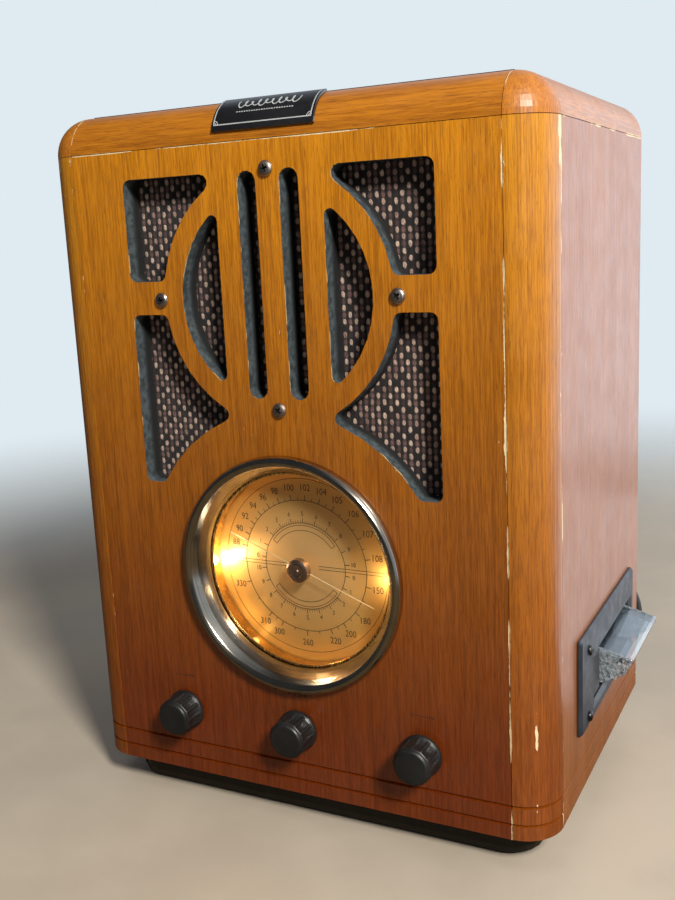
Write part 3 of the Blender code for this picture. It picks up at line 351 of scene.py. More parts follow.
def painted_wall():
    """Matt blue-grey paint on sawn board, thin on the edges, and painted near-black deeper in the cut-out as
    shade.
    """
    s = Shader("cutout_paint_and_shade", 0.75)
    blot = s.noise(s.place, 330.0, 5.0, 0.6)
    fine = s.noise(s.scaled((1.0, 0.4, 1.0)), 2100.0, 2.0)
    axes = s.axes()
    whole = s.spread(s.noise(s.place, 75.0, 2.0), 0.62, 0.46, 0.0, 0.0013)
    edge = s.add(s.add(axes[1], s.times(blot, 0.0016)), whole)
    edge = s.spread(edge, FRONT_Y + 0.001, FRONT_Y + 0.0019)
    body = s.mix(s.spread(blot, 0.35, 0.65), (0.026, 0.035, 0.04), (0.082, 0.103, 0.115))
    body = s.mix(s.times(s.spread(fine, 0.5, 0.7), 0.4), body, (0.03, 0.045, 0.055))
    # Painted shade: deeper than about 5 mm into the cut-out the wall is painted near-black.
    body = s.mix(s.spread(s.add(axes[1], s.times(blot, 0.002)), FRONT_Y + 0.0052, FRONT_Y + 0.01), body,
                 (0.008, 0.009, 0.01))
    s.colour(s.mix(edge, (0.56, 0.42, 0.22), body))
    s.bump(s.add(blot, fine), 0.00015, 0.8)
    return s.mat


def dial_gold():
    """Satin gold plate, brushed a little, deeper in tone towards its rim."""
    s = Shader("dial_gold", 0.42, 0.55)
    axes = s.axes()
    radius = s.length(axes[0], s.less(axes[2], DIAL_Z))
    cloud = s.noise(s.place, 40.0, 4.0)
    fine = s.noise(s.scaled((0.05, 1.0, 1.0)), 2400.0, 2.0)
    body = s.mix(s.spread(radius, 0.01, 0.05), (0.86, 0.55, 0.24), (0.9, 0.53, 0.14))
    body = s.mix(s.times(s.spread(cloud, 0.35, 0.7), 0.25), body, (0.72, 0.46, 0.2))
    s.colour(s.mix(s.times(fine, 0.12), body, (0.55, 0.36, 0.16)))
    s.roughness(s.spread(fine, 0.3, 0.7, 0.36, 0.5))
    s.bump(fine, 0.00001, 0.3)
    return s.mat


# ---------------------------------------------------------------- mesh tools
def show(obj):
    bpy.context.scene.collection.objects.link(obj)
    return obj


def keep(obj, mat, body="cabinet", nodes=()):
    """Put a finished piece in the scene, on its body, in place of the CAD nodes it stands for."""
    if not obj.users_collection:
        show(obj)
    if mat:
        obj.data.materials.clear()
        obj.data.materials.append(mat)
    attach(obj, body)
    if nodes:
        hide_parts(*nodes)
    return obj


def mesh_object(name, bm):
    mesh = bpy.data.meshes.new(name)
    bm.to_mesh(mesh)
    bm.free()
    return bpy.data.objects.new(name, mesh)


def smooth(mesh, sharp):
    """Shade smoothly, apart from edges sharper than an angle in degrees."""
    mesh.shade_smooth()
    if sharp:
        mesh.set_sharp_from_angle(angle=math.radians(sharp))


def finish_mesh(name, bm, sharp=35.0):
    bmesh.ops.remove_doubles(bm, verts=bm.verts, dist=1e-7)
    bmesh.ops.recalc_face_normals(bm, faces=bm.faces)
    obj = mesh_object(name, bm)
    smooth(obj.data, sharp)
    return obj


def evaluated(obj):
    """A copy of the object's mesh with its modifiers applied."""
    bpy.context.view_layer.update()
    return bpy.data.meshes.new_from_object(obj.evaluated_get(bpy.context.evaluated_depsgraph_get()))


def bridge(bm, low, high):
    """Faces between two closed rows of equally many vertices."""
    for i in range(len(low)):
        j = (i + 1) % len(low)
        bm.faces.new((low[i], low[j], high[j], high[i]))


def facing(way, place):
    """Turn local (u, v, h) into the row frame, with h pointing the given way."""
    x, y, z = place
    ways = {
        "front": lambda u, v, h: (x + u, y - h, z + v),
        "back": lambda u, v, h: (x - u, y + h, z + v),
        "right": lambda u, v, h: (x + h, y + u, z + v),
        "up": lambda u, v, h: (x + u, y + v, z + h),
    }
    return ways[way]


def rounded(profile, radius, steps=4, closed=False):
    """Round the corners of an outline of (u, v) points."""
    points = [Vector(p) for p in profile]
    count = len(points)
    result = []
    for i, here in enumerate(points):
        if not closed and i in (0, count - 1):
            result.append(here)
            continue
        before = points[i - 1] - here
        after = points[(i + 1) % count] - here
        reach = min(radius, before.length * 0.45, after.length * 0.45)
        start = here + before.normalized() * reach
        end = here + after.normalized() * reach
        for k in range(steps + 1):
            t = k / steps
            result.append(start * (1 - t) ** 2 + here * 2 * t * (1 - t) + end * t ** 2)
    return [tuple(p) for p in result]


def turned(name, profile, place, way="front", steps=96, closed=False, sharp=35.0, ripple=None):
    """Turn a profile of (radius, height) about an axis. ripple(angle, radius, height) may pull a point in."""
    at = facing(way, place)
    bm = bmesh.new()
    rings = []
    for radius, height in profile:
        if radius < 1e-7:
            rings.append([bm.verts.new(at(0.0, 0.0, height))])
            continue
        ring = []
        for i in range(steps):
            angle = 2 * math.pi * i / steps
            r = radius - (ripple(angle, radius, height) if ripple else 0.0)
            ring.append(bm.verts.new(at(r * math.cos(angle), r * math.sin(angle), height)))
        rings.append(ring)
    pairs = list(zip(rings, rings[1:]))
    if closed:
        pairs.append((rings[-1], rings[0]))
    for low, high in pairs:
        for i in range(steps):
            j = (i + 1) % steps
            loop = [low[i % len(low)], low[j % len(low)], high[j % len(high)], high[i % len(high)]]
            loop = list(dict.fromkeys(loop))
            if len(loop) > 2:
                bm.faces.new(loop)
    return finish_mesh(name, bm, sharp)


def add_skin(bm, loops):
    """Join closed rows of equally many points and cap both ends."""
    rows = [[bm.verts.new(p) for p in loop] for loop in loops]
    for low, high in zip(rows, rows[1:]):
        bridge(bm, low, high)
    bm.faces.new(rows[0])
    bm.faces.new(list(reversed(rows[-1])))


def skin(name, loops, sharp=35.0):
    bm = bmesh.new()
    add_skin(bm, loops)
    return finish_mesh(name, bm, sharp)


def soften(obj, width, segments=2, angle=40.0):
    mod = obj.modifiers.new("soft_edges", "BEVEL")
    mod.width = width
    mod.segments = segments
    mod.limit_method = "ANGLE"
    mod.angle_limit = math.radians(angle)
    mod.harden_normals = True
    return obj


def round_rect(u, v, radius, count=6):
    corners = ((u[1], v[0], -90), (u[1], v[1], 0), (u[0], v[1], 90), (u[0], v[0], 180))
    points = []
    for cu, cv, start in corners:
        mu = cu - math.copysign(radius, cu - sum(u) / 2)
        mv = cv - math.copysign(radius, cv - sum(v) / 2)
        for i in range(count):
            angle = math.radians(start + 90 * i / (count - 1))
            points.append((mu + radius * math.cos(angle), mv + radius * math.sin(angle)))
    return points


# ---------------------------------------------------------------- mains lead
CORD_R = 0.003
CORD_EXIT = (0.109, REAR_Y + 0.0153, 0.074)
# From the strain relief down to the coil: x, distance behind the side panels, z.
CORD_ROUTE = [(x, REAR_Y + behind, z) for x, behind, z in (
    (0.1090, 0.0156, 0.0740),
    (0.1095, 0.0210, 0.0738),
    (0.1128, 0.0300, 0.0712),
    (0.1177, 0.0375, 0.0645),
    (0.1210, 0.0412, 0.0548),
    (0.1216, 0.0425, 0.0445),
    (0.1200, 0.0430, 0.0335),
    (0.1163, 0.0430, 0.0228),
    (0.1113, 0.0430, 0.0135),
    (0.1040, 0.0435, 0.0070),
    (0.0950, 0.0445, 0.0038),
    (0.0850, 0.0460, 0.0032),
    (0.0720, 0.0470, 0.0032),
    (0.0400, 0.0468, 0.0032),
    (0.0060, 0.0464, 0.0032),
    (-0.0300, 0.0458, 0.0032),
    (-0.0571, 0.0452, 0.0032),
)]
COIL_CENTRE = (-0.08, REAR_Y + 0.084)
PLUG_START = (COIL_CENTRE[0] + 0.012, COIL_CENTRE[1] + 0.0505, 0.0069)
COIL_OUTER = 0.0391
COIL_PITCH = 0.0061
COIL_LOW = 0.0033


def smoothstep(value, low, high):
    t = min(1.0, max(0.0, (value - low) / (high - low)))
    return t * t * (3 - 2 * t)


def coil_point(turns):
    """A place in the two-layer coil, counted in turns from where the lead meets it."""
    step = 0.36
    radius = COIL_OUTER
    for edge in (1.0, 2.0):
        radius -= COIL_PITCH * smoothstep(turns, edge - step, edge)
    for edge in (3.42, 4.42):
        radius += COIL_PITCH * smoothstep(turns, edge - step, edge)
    height = COIL_LOW + COIL_PITCH * smoothstep(turns, 2.44, 2.8)
    radius += 0.0114 * smoothstep(turns, 4.98, 5.5)
    height -= 0.0025 * smoothstep(turns, 5.2, 5.5)
    angle = -math.pi / 2 - 2 * math.pi * turns
    return (COIL_CENTRE[0] + radius * math.cos(angle), COIL_CENTRE[1] + radius * math.sin(angle), height)


def smooth_route(points, spacing):
    """Catmull-Rom curve through the points, read off at an even spacing."""
    knots = [Vector(p) for p in points]
    ends = [knots[0] * 2 - knots[1]] + knots + [knots[-1] * 2 - knots[-2]]
    dense = []
    for a, b, c, d in zip(ends, ends[1:], ends[2:], ends[3:]):
        for i in range(12):
            t = i / 12
            dense.append(0.5 * (2 * b + (c - a) * t + (2 * a - 5 * b + 4 * c - d) * t * t
                                + (3 * b - a - 3 * c + d) * t ** 3))
    dense.append(knots[-1])
    result = [dense[0]]
    for point in dense[1:]:
        if (point - result[-1]).length >= spacing:
            result.append(point)
    return result


def build_lead(rubber):
    coil = [coil_point(i / 40) for i in range(221)]
    tail = [Vector(PLUG_START) + Vector((shift, 0.0, 0.0)) for shift in (-0.004, 0.004)]
    route = smooth_route(CORD_ROUTE + coil + tail, 0.0035)
    curve = bpy.data.curves.new("mains_lead", "CURVE")
    curve.dimensions = "3D"
    curve.bevel_depth = CORD_R
    curve.bevel_resolution = 5
    curve.use_fill_caps = True
    spline = curve.splines.new("POLY")
    spline.points.add(len(route) - 1)
    for point, place in zip(spline.points, route):
        point.co = (*place, 1.0)
    spline.use_smooth = True
    lead = keep(bpy.data.objects.new("mains_lead", curve), rubber, nodes=("mains_cord", "cord_coil"))
    plug = build_plug(rubber, *PLUG_START)
    relief = build_relief(rubber)


def build_plug(rubber, start, y, z):
    """A flat moulded plug with a ribbed sleeve and two pins."""
    sections = [(0.0, 0.0036, 0.0032)]
    for i in range(5):
        along = 0.0012 + i * 0.0021
        size = 0.004 + i * 0.0002
        sections += [(along, size, size * 0.88), (along + 0.001, size, size * 0.88),
                     (along + 0.0012, size - 0.0007, size * 0.88 - 0.0007),
                     (along + 0.0019, size - 0.0007, size * 0.88 - 0.0007)]
    sections += [(0.014, 0.0052, 0.0046), (0.0165, 0.0064, 0.0054), (0.019, 0.0076, 0.006),
                 (0.0215, 0.0081, 0.0063), (0.03, 0.0083, 0.0064), (0.0335, 0.008, 0.0063),
                 (0.035, 0.0073, 0.006), (0.0358, 0.0064, 0.0054)]
    loops = []
    for along, wide, high in sections:
        loop = round_rect((-wide, wide), (-high, high), min(wide, high) * 0.8, 7)
        loops.append([(start + along, y + u, z + v) for u, v in loop])
    plug = keep(skin("mains_plug_body", loops), rubber, nodes=("mains_plug",))
    bm = bmesh.new()
    for side in (-1, 1):
        at = facing("right", (start + 0.0355, y + side * 0.0048, z))
        pin = ((0.002, 0.0), (0.002, 0.017), (0.0016, 0.0186), (0.0008, 0.0192))
        add_skin(bm, [[at(*polar(radius, 15 * i), height) for i in range(24)] for radius, height in pin])
    pins = show(finish_mesh("plug_pins", bm))
    pins.data.materials.append(plated("pin_nickel", (0.66, 0.64, 0.6), (0.4, 0.36, 0.3), 0.22))
    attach(pins, "cabinet")
    return plug


def build_relief(rubber):
    """The tapered sleeve where the lead leaves the back cover, with a flange and ribs."""
    cover = REAR_Y - 0.005
    profile = [(0.0031, 0.0212), (0.0037, 0.0212)]
    for i in range(6):
        height = 0.02 - i * 0.0024
        size = 0.0038 + i * 0.00022
        profile += [(size, height), (size, height - 0.0013), (size - 0.0005, height - 0.0015),
                    (size - 0.0005, height - 0.0022)]
    profile += [(0.0055, 0.0046), (0.0072, 0.0038), (0.0079, 0.003), (0.008, 0.0004), (0.0049, 0.0003),
                (0.0049, -0.0044), (0.0031, -0.0044)]
    relief = turned("strain_relief", profile, (CORD_EXIT[0], cover, CORD_EXIT[2]), "back", 48, closed=True)
    return keep(relief, rubber, nodes=("cord_strain_relief",))


# ---------------------------------------------------------------- lettering and marks
def polar(radius, degrees):
    return (radius * math.cos(math.radians(degrees)), radius * math.sin(math.radians(degrees)))


def add_strip(bm, line, width, place, closed=False):
    """A flat ribbon along (u, v) points. place turns them into the row frame."""
    points = [Vector(p) for p in line]
    count = len(points)
    sides = []
    for i, here in enumerate(points):
        before = points[(i - 1) % count] if closed or i else here
        after = points[(i + 1) % count] if closed or i < count - 1 else here
        along = (after - before).normalized()
        across = Vector((-along.y, along.x)) * width / 2
        sides.append((here + across, here - across))
    rows = [[bm.verts.new(place(*p)) for p in pair] for pair in sides]
    pairs = list(zip(rows, rows[1:]))
    if closed:
        pairs.append((rows[-1], rows[0]))
    for a, b in pairs:
        bm.faces.new((a[0], a[1], b[1], b[0]))


def add_text(bm, words, size, u, v, y):
    """Upright numerals centred on (u, v), facing the front."""
    curve = bpy.data.curves.new("numeral", "FONT")
    curve.body = words
    curve.size = size
    curve.align_x = "CENTER"
    curve.align_y = "CENTER"
    curve.resolution_u = 3
    obj = show(bpy.data.objects.new("numeral", curve))
    mesh = evaluated(obj)
    mesh.transform(Matrix.Translation((u, y, v)) @ Matrix.Rotation(math.pi / 2, 4, "X")
                   @ Matrix.Diagonal((0.86, 1.0, 1.0, 1.0)))
    bm.from_mesh(mesh)
    bpy.data.objects.remove(obj, do_unlink=True)
    bpy.data.meshes.remove(mesh)


def flat_mesh(name, bm):
    for face in bm.faces:
        face.normal_update()
    return mesh_object(name, bm)


DIAL_PLATE_Y = FRONT_Y + 0.0155
UPPER_SCALE = ((88, 167), (90, 156), (92, 145), (94, 134), (96, 123), (98, 112), (100, 100), (102, 87),
               (104, 74), (105, 61), (106, 46), (107, 29), (108, 11))
OUTER_RING = 0.034
INNER_RING = 0.0224
LABEL_RINGS = (0.0186, 0.0212)
PRINT_LIFT = 0.00006
LOWER_SCALE = ((150, -12), (180, -38), (200, -54), (220, -68), (260, -91), (300, -115), (310, -128),
               (330, -161))


def build_dial_printing(ink):
    """Numerals, divisions, two empty label boxes and the centre lines."""
    bm = bmesh.new()
    level = DIAL_PLATE_Y - PRINT_LIFT

    def place(u, v):
        return (u, level, DIAL_Z + v)

    def ring(radius, width, start=0.0, end=360.0):
        count = max(12, int(abs(end - start) / 2.5))
        whole = end - start >= 360
        line = [polar(radius, start + (end - start) * i / count) for i in range(count + (0 if whole else 1))]
        add_strip(bm, line, width, place, closed=whole)

    def tick(degrees, inner, outer, width):
        add_strip(bm, [polar(inner, degrees), polar(outer, degrees)], width, place)

    ring(0.0451, 0.00025)
    ring(OUTER_RING, 0.00032)
    ring(INNER_RING, 0.00032)
    for scale in (UPPER_SCALE, LOWER_SCALE):
        for number, degrees in scale:
            tick(degrees, OUTER_RING, 0.0368, 0.00038)
            u, v = polar(0.0405, degrees)
            add_text(bm, str(number), 0.0048, u, DIAL_Z + v, level)
        for (_, a), (_, b) in zip(scale, scale[1:]):
            tick((a + b) / 2, OUTER_RING, 0.0356, 0.00028)
    for half in (1, -1):
        for i in range(11):
            degrees = half * (173 - i * 16.6)
            tick(degrees, INNER_RING, 0.0249, 0.00036)
            number = i if half > 0 else 10 - i
            u, v = polar(0.0271, degrees)
            add_text(bm, str(number), 0.0034, u, DIAL_Z + v, level)
        for i in range(1, 50):
            degrees = half * (173 - i * 3.32)
            if 40 < abs(degrees) < 140:
                tick(degrees, INNER_RING, 0.0237, 0.00024)
        for radius in LABEL_RINGS:
            ring(radius, 0.00028, half * 90 - 55, half * 90 + 55)
        for end in (-55, 55):
            tick(half * 90 + end, *LABEL_RINGS, 0.00028)
    for side in (-1, 1):
        for v in (-0.0008, 0.0008):
            add_strip(bm, [(side * 0.0078, v), (side * 0.045, v)], 0.00024, place)
    keep(flat_mesh("dial_printing", bm), ink)


# ---------------------------------------------------------------- dial
def build_dial():
    place = (0.0, FRONT_Y, DIAL_Z)
    chrome = brushed_round("bezel_chrome", (0.6, 0.55, 0.47), (0.4, 0.35, 0.28), 0.15, (0.0, DIAL_Z), 0.00045)
    bezel = [(0.053, 0.0006), (0.055, 0.004), (0.0568, 0.0056), (0.0583, 0.0054), (0.0597, 0.0038),
             (0.06, 0.0018), (0.06, 0.0003), (0.0532, 0.0003), (0.0532, -0.003), (0.0516, -0.007),
             (0.05, -0.0066), (0.0512, -0.0032)]
    bezel = rounded(bezel, 0.0006, 3, closed=True)
    keep(turned("dial_bezel_ring", bezel, place, steps=192, closed=True, sharp=50), chrome,
         nodes=("dial_bezel",))
    brass = plated("lip_brass", (0.86, 0.6, 0.26), (0.55, 0.34, 0.12), 0.16)
    lip = [(0.05, -0.0074), (0.0508, -0.008), (0.0508, -0.015), (0.0497, -0.0152), (0.0496, -0.0092),
           (0.0489, -0.0084), (0.049, -0.0075)]
    keep(turned("dial_lip_ring", rounded(lip, 0.0003, 3, closed=True), place, steps=160, closed=True), brass,
         nodes=("dial_lip",))
    rise = 0.0042
    edge = 0.0492
    outer = [(edge * i / 14, -0.0062 + rise * (1 - (i / 14) ** 2)) for i in range(15)]
    inner = [(0.0482 * i / 14, -0.0073 + rise * (1 - (i / 14) ** 2)) for i in range(14, -1, -1)]
    lens = clear_plastic("lens_acrylic", (0.99, 0.98, 0.96), 0.03)
    keep(turned("dial_lens_dome", outer + [(edge, -0.0071)] + inner, place, steps=128), lens,
         nodes=("dial_lens",))
    disc = [(0.0, -0.0155), (0.053, -0.0155), (0.0536, -0.0159), (0.0536, -0.0163), (0.0, -0.0163)]
    keep(turned("dial_face", disc, place, steps=128), dial_gold(), nodes=("dial_plate",))
    build_dial_printing(speckled("dial_ink", (0.045, 0.028, 0.014), (0.1, 0.06, 0.026), 900.0, 0.6, 0.00001))
    hub_metal = brushed_round("hub_metal", (0.56, 0.43, 0.38), (0.28, 0.2, 0.17), 0.3, (0.0, DIAL_Z), 0.0007,
                              0.00006)
    hub = [(0.0, -0.0058), (0.0009, -0.0058), (0.0014, -0.0062), (0.0028, -0.0062), (0.0033, -0.0059),
           (0.0047, -0.006), (0.0059, -0.0068), (0.006, -0.0075), (0.006, -0.0102), (0.0, -0.0102)]
    keep(turned("pointer_boss", hub, place, steps=64), hub_metal, "dial_hand", ("pointer_hub",))
    needle = speckled("needle_metal", (0.86, 0.7, 0.42), (0.66, 0.48, 0.24), 900.0, 0.34, 0.00001, 0.4)
    build_needle(needle)


def build_needle(metal):
    """A slim double-ended hand with a raised spine."""
    tilt = math.radians(-22)
    along = Vector((math.cos(tilt), 0.0, math.sin(tilt)))
    across = Vector((-math.sin(tilt), 0.0, math.cos(tilt)))
    middle = Vector((0.0, FRONT_Y + 0.0105, DIAL_Z))
    stations = [(-0.0425, 0.00018), (-0.0418, 0.00024), (-0.02, 0.0003), (-0.006, 0.0004), (-0.003, 0.0022),
                (0.003, 0.0022), (0.006, 0.0004), (0.02, 0.0003), (0.0418, 0.00024), (0.0425, 0.00018)]
    loops = []
    for reach, half in stations:
        centre = middle + along * reach
        loops.append([tuple(centre + across * half), tuple(centre + Vector((0, -0.00022, 0))),
                      tuple(centre - across * half), tuple(centre + Vector((0, 0.00015, 0)))])
    keep(skin("tuning_needle", loops, sharp=20), metal, "dial_hand", ("dial_pointer",))


# ---------------------------------------------------------------- knobs
def build_knobs():
    plastic = speckled("knob_plastic", (0.009, 0.009, 0.009), (0.021, 0.022, 0.022), 1400.0, 0.4, 0.00003)
    profile = [(0.0, 0.014), (0.0076, 0.014), (0.008, 0.0138), (0.0086, 0.0132), (0.0087, 0.0129),
               (0.0085, 0.0127), (0.0089, 0.0125), (0.0095, 0.012), (0.0097, 0.0115), (0.0097, 0.0075),
               (0.01, 0.0026), (0.0101, 0.0021), (0.0105, 0.0018), (0.0105, 0.0001), (0.0103, 0.0),
               (0.0033, 0.0), (0.0033, 0.0105), (0.0, 0.0105)]
    profile = rounded(profile, 0.0003, 2)

    def fluting(angle, radius, height):
        """Twelve shallow hollows between narrow ribs, along the barrel only."""
        if not (0.0022 < height < 0.0122 and radius > 0.009):
            return 0.0
        share = (angle * 12 / math.tau) % 1.0
        hollow = smoothstep(share, 0.08, 0.24) * (1.0 - smoothstep(share, 0.76, 0.92))
        fade = smoothstep(height, 0.0022, 0.0034) * (1.0 - smoothstep(height, 0.0112, 0.0122))
        return 0.00075 * hollow * fade

    for name, x, stand, body in (("volume", -KNOB_GAP, 0.0008, "volume_control"),
                                 ("selector", 0.0, 0.0008, "selector_control"),
                                 ("tuning", KNOB_GAP, 0.0025, "tuning_control")):
        place = (x, FRONT_Y - stand, KNOB_Z)
        knob = turned(name + "_knob_fluted", profile, place, steps=240, sharp=40, ripple=fluting)
        keep(knob, plastic, body, (name + "_knob",))


def build_control_marks():
    """Faint printed marks above the knobs: a rising wedge, four dots and a pair of arrows."""
    ink = speckled("mark_ink", (0.04, 0.016, 0.01), (0.075, 0.03, 0.014), 1200.0, 0.55, 0.00001)
    bm = bmesh.new()
    z = KNOB_Z + 0.0185

    def place(u, v):
        return (u, FRONT_Y - 0.00004, z + v)

    for i in range(6):
        u = i * 0.002 - 0.005 - KNOB_GAP
        add_strip(bm, [(u, -0.0004), (u, 0.0002 + i * 0.0002)], 0.0009, place)
    for i in range(4):
        add_strip(bm, [(i * 0.003 - 0.0052, 0.0), (i * 0.003 - 0.0038, 0.0)], 0.001, place)
    add_strip(bm, [(KNOB_GAP - 0.005, 0.0), (KNOB_GAP + 0.005, 0.0)], 0.0003, place)
    for side in (-1, 1):
        tip = KNOB_GAP + side * 0.0062
        barb = tip - side * 0.0016
        add_strip(bm, [(barb, 0.0009), (tip, 0.0), (barb, -0.0009)], 0.0004, place)
    keep(flat_mesh("control_marks", bm), ink)


# ---------------------------------------------------------------- screws
def build_screws():
    """Domed heads with a recessed cross, each turned by its own amount."""
    steel = plated("screw_nickel", (0.58, 0.54, 0.52), (0.3, 0.24, 0.2), 0.26)
    dark = plated("screw_black", (0.055, 0.055, 0.06), (0.12, 0.11, 0.1), 0.3)
    # Painted shade: the cross recess is painted near-black.
    recess_shade = speckled("screw_recess_shade", (0.012, 0.011, 0.01), (0.04, 0.034, 0.028), 2500.0, 0.7, 0.00005, 0.4)
    rows = [("grille_screw_" + name, "front", 0.0036, 0.0165, steel)
            for name in ("top", "bottom", "left", "right")]
    rows += [(f"back_screw_{number}", "back", 0.003, 0.012, steel) for number in range(1, 5)]
    rows += [("bezel_screw_" + name, "right", 0.0027, 0.008, dark) for name in ("upper", "lower")]
    for index, (node, way, head, shank, metal) in enumerate(rows):
        low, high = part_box(node)
        middle = (low + high) / 2
        rise = head * 0.5
        place = {"front": (middle.x, low.y + rise, middle.z), "back": (middle.x, high.y - rise, middle.z),
                 "right": (high.x - rise, middle.y, middle.z)}[way]
        profile = [(0.0, rise)]
        profile += [(head * 0.96 * math.sin(a), head * 0.1 + (rise - head * 0.1) * math.cos(a))
                    for a in (math.radians(i * 10) for i in range(1, 10))]
        profile += [(head, head * 0.05), (head * 0.98, 0.0), (head * 0.42, 0.0), (head * 0.42, -shank),
                    (0.0, -shank - head * 0.42)]
        screw = turned(node + "_head", profile, place, way, 40)
        cross = bmesh.new()
        at = facing(way, place)
        for quarter in (0, 1):
            angle = math.radians(17 + index * 37) + quarter * math.pi / 2
            along = Vector((math.cos(angle), math.sin(angle)))
            across = Vector((-along.y, along.x))
            loops = []
            for level, shrink in ((rise + 0.001, 1.0), (rise - head * 0.4, 0.55)):
                spots = [along * (a * head * 0.6 * shrink) + across * (b * head * (0.135 + quarter * 0.002))
                         for a, b in ((1, 1), (-1, 1), (-1, -1), (1, -1))]
                loops.append([at(spot.x, spot.y, level) for spot in spots])
            add_skin(cross, loops)
        # The walls of the cross take the painted shade.
        for face in cross.faces:
            face.material_index = 1
        cutter = show(finish_mesh(node + "_cross", cross, 0))
        for mesh in (screw.data, cutter.data):
            mesh.materials.append(metal)
            mesh.materials.append(recess_shade)
        mod = show(screw).modifiers.new("cross", "BOOLEAN")
        mod.object = cutter
        mod.operation = "DIFFERENCE"
        mod.solver = "EXACT"
        mod.use_self = True
        mesh = evaluated(screw)
        screw.modifiers.clear()
        screw.data = mesh
        smooth(mesh, 35)
        bpy.data.objects.remove(cutter, do_unlink=True)
        keep(screw, None, nodes=(node,))


# ---------------------------------------------------------------- badge
def build_badge():
    """A curved black plate with a silver border, a looping flourish and a row of dashes."""
    gloss = speckled("badge_gloss", (0.01, 0.01, 0.012), (0.022, 0.022, 0.025), 500.0, 0.14, 0.00001,
                     Coat_Weight=0.6, Coat_Roughness=0.06)
    silver = speckled("badge_silver", (0.7, 0.73, 0.74), (0.42, 0.45, 0.46), 900.0, 0.3, 0.00002, 0.35)
    centre_y = FRONT_Y + ROUND
    centre_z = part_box("top_panel")[0].z
    low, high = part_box("badge")
    half = (high.x - low.x) / 2
    middle_x = (high.x + low.x) / 2
    inner_r = ROUND + 0.0003
    outer_r = inner_r + 0.0012
    first = math.radians(167)
    sweep = math.radians(63)

    def at(u, v, radius):
        """u along the plate, v from 0 at its lower edge to 1 at its upper edge."""
        angle = first - sweep * v
        return (middle_x + u, centre_y + radius * math.cos(angle), centre_z + radius * math.sin(angle))

    edge = 0.00035
    arc = sweep * outer_r
    loops = []
    for inset, radius in ((0.0, inner_r), (0.0, outer_r - edge), (edge * 0.3, outer_r - edge * 0.3),
                          (edge, outer_r)):
        share = inset / arc
        climb = [share + (1 - 2 * share) * i / 24 for i in range(25)]
        loops.append([at(inset - half, v, radius) for v in climb]
                     + [at(half - inset, 1 - v, radius) for v in climb])
    bm = bmesh.new()
    rows = [[bm.verts.new(p) for p in loop] for loop in loops]
    for a, b in zip(rows, rows[1:]):
        bridge(bm, a, b)
    for row in (rows[0], rows[-1]):
        for i in range(24):
            bm.faces.new((row[i], row[i + 1], row[48 - i], row[49 - i]))
    keep(finish_mesh("badge_plate", bm, 30), gloss, nodes=("badge",))

    bm = bmesh.new()

    def place(u, v):
        return at(u, v / arc, outer_r + 0.00008)

    inset = 0.0013
    left, right, bottom, top = -half + inset, half - inset, 0.003, arc - inset
    border = []
    corners = [Vector(c) for c in ((left, bottom), (right, bottom), (right, top), (left, top))]
    for start, end in zip(corners, corners[1:] + corners[:1]):
        border += [start.lerp(end, i / 24) for i in range(24)]
    add_strip(bm, border, 0.00055, place, closed=True)
    mid = (bottom + top) / 2 + 0.002
    wave = []
    for i in range(361):
        turn = math.tau * 9 * i / 360
        swell = 0.0011 + 0.0015 * abs(math.sin(turn / 5.2 + 0.6))
        lean = 0.0013 * math.sin(turn)
        rise = swell * math.sin(turn + 0.9)
        wave.append((-0.015 + 0.0315 * i / 360 - lean + 0.35 * rise, mid + rise))
    add_strip(bm, wave, 0.00062, place)
    for i in range(23):
        u = -0.0143 + i * 0.0013
        add_strip(bm, [(u, mid - 0.0052), (u + 0.0008, mid - 0.0052)], 0.00065, place)
    for side in (-1, 1):
        for ring in (0.0011, 0.0021):
            corner = right if side > 0 else left
            fan = [(corner - side * ring * math.cos(a), bottom + ring * math.sin(a))
                   for a in (math.radians(i * 10) for i in range(10))]
            add_strip(bm, fan, 0.0004, place)
    keep(flat_mesh("badge_ornament", bm), silver)


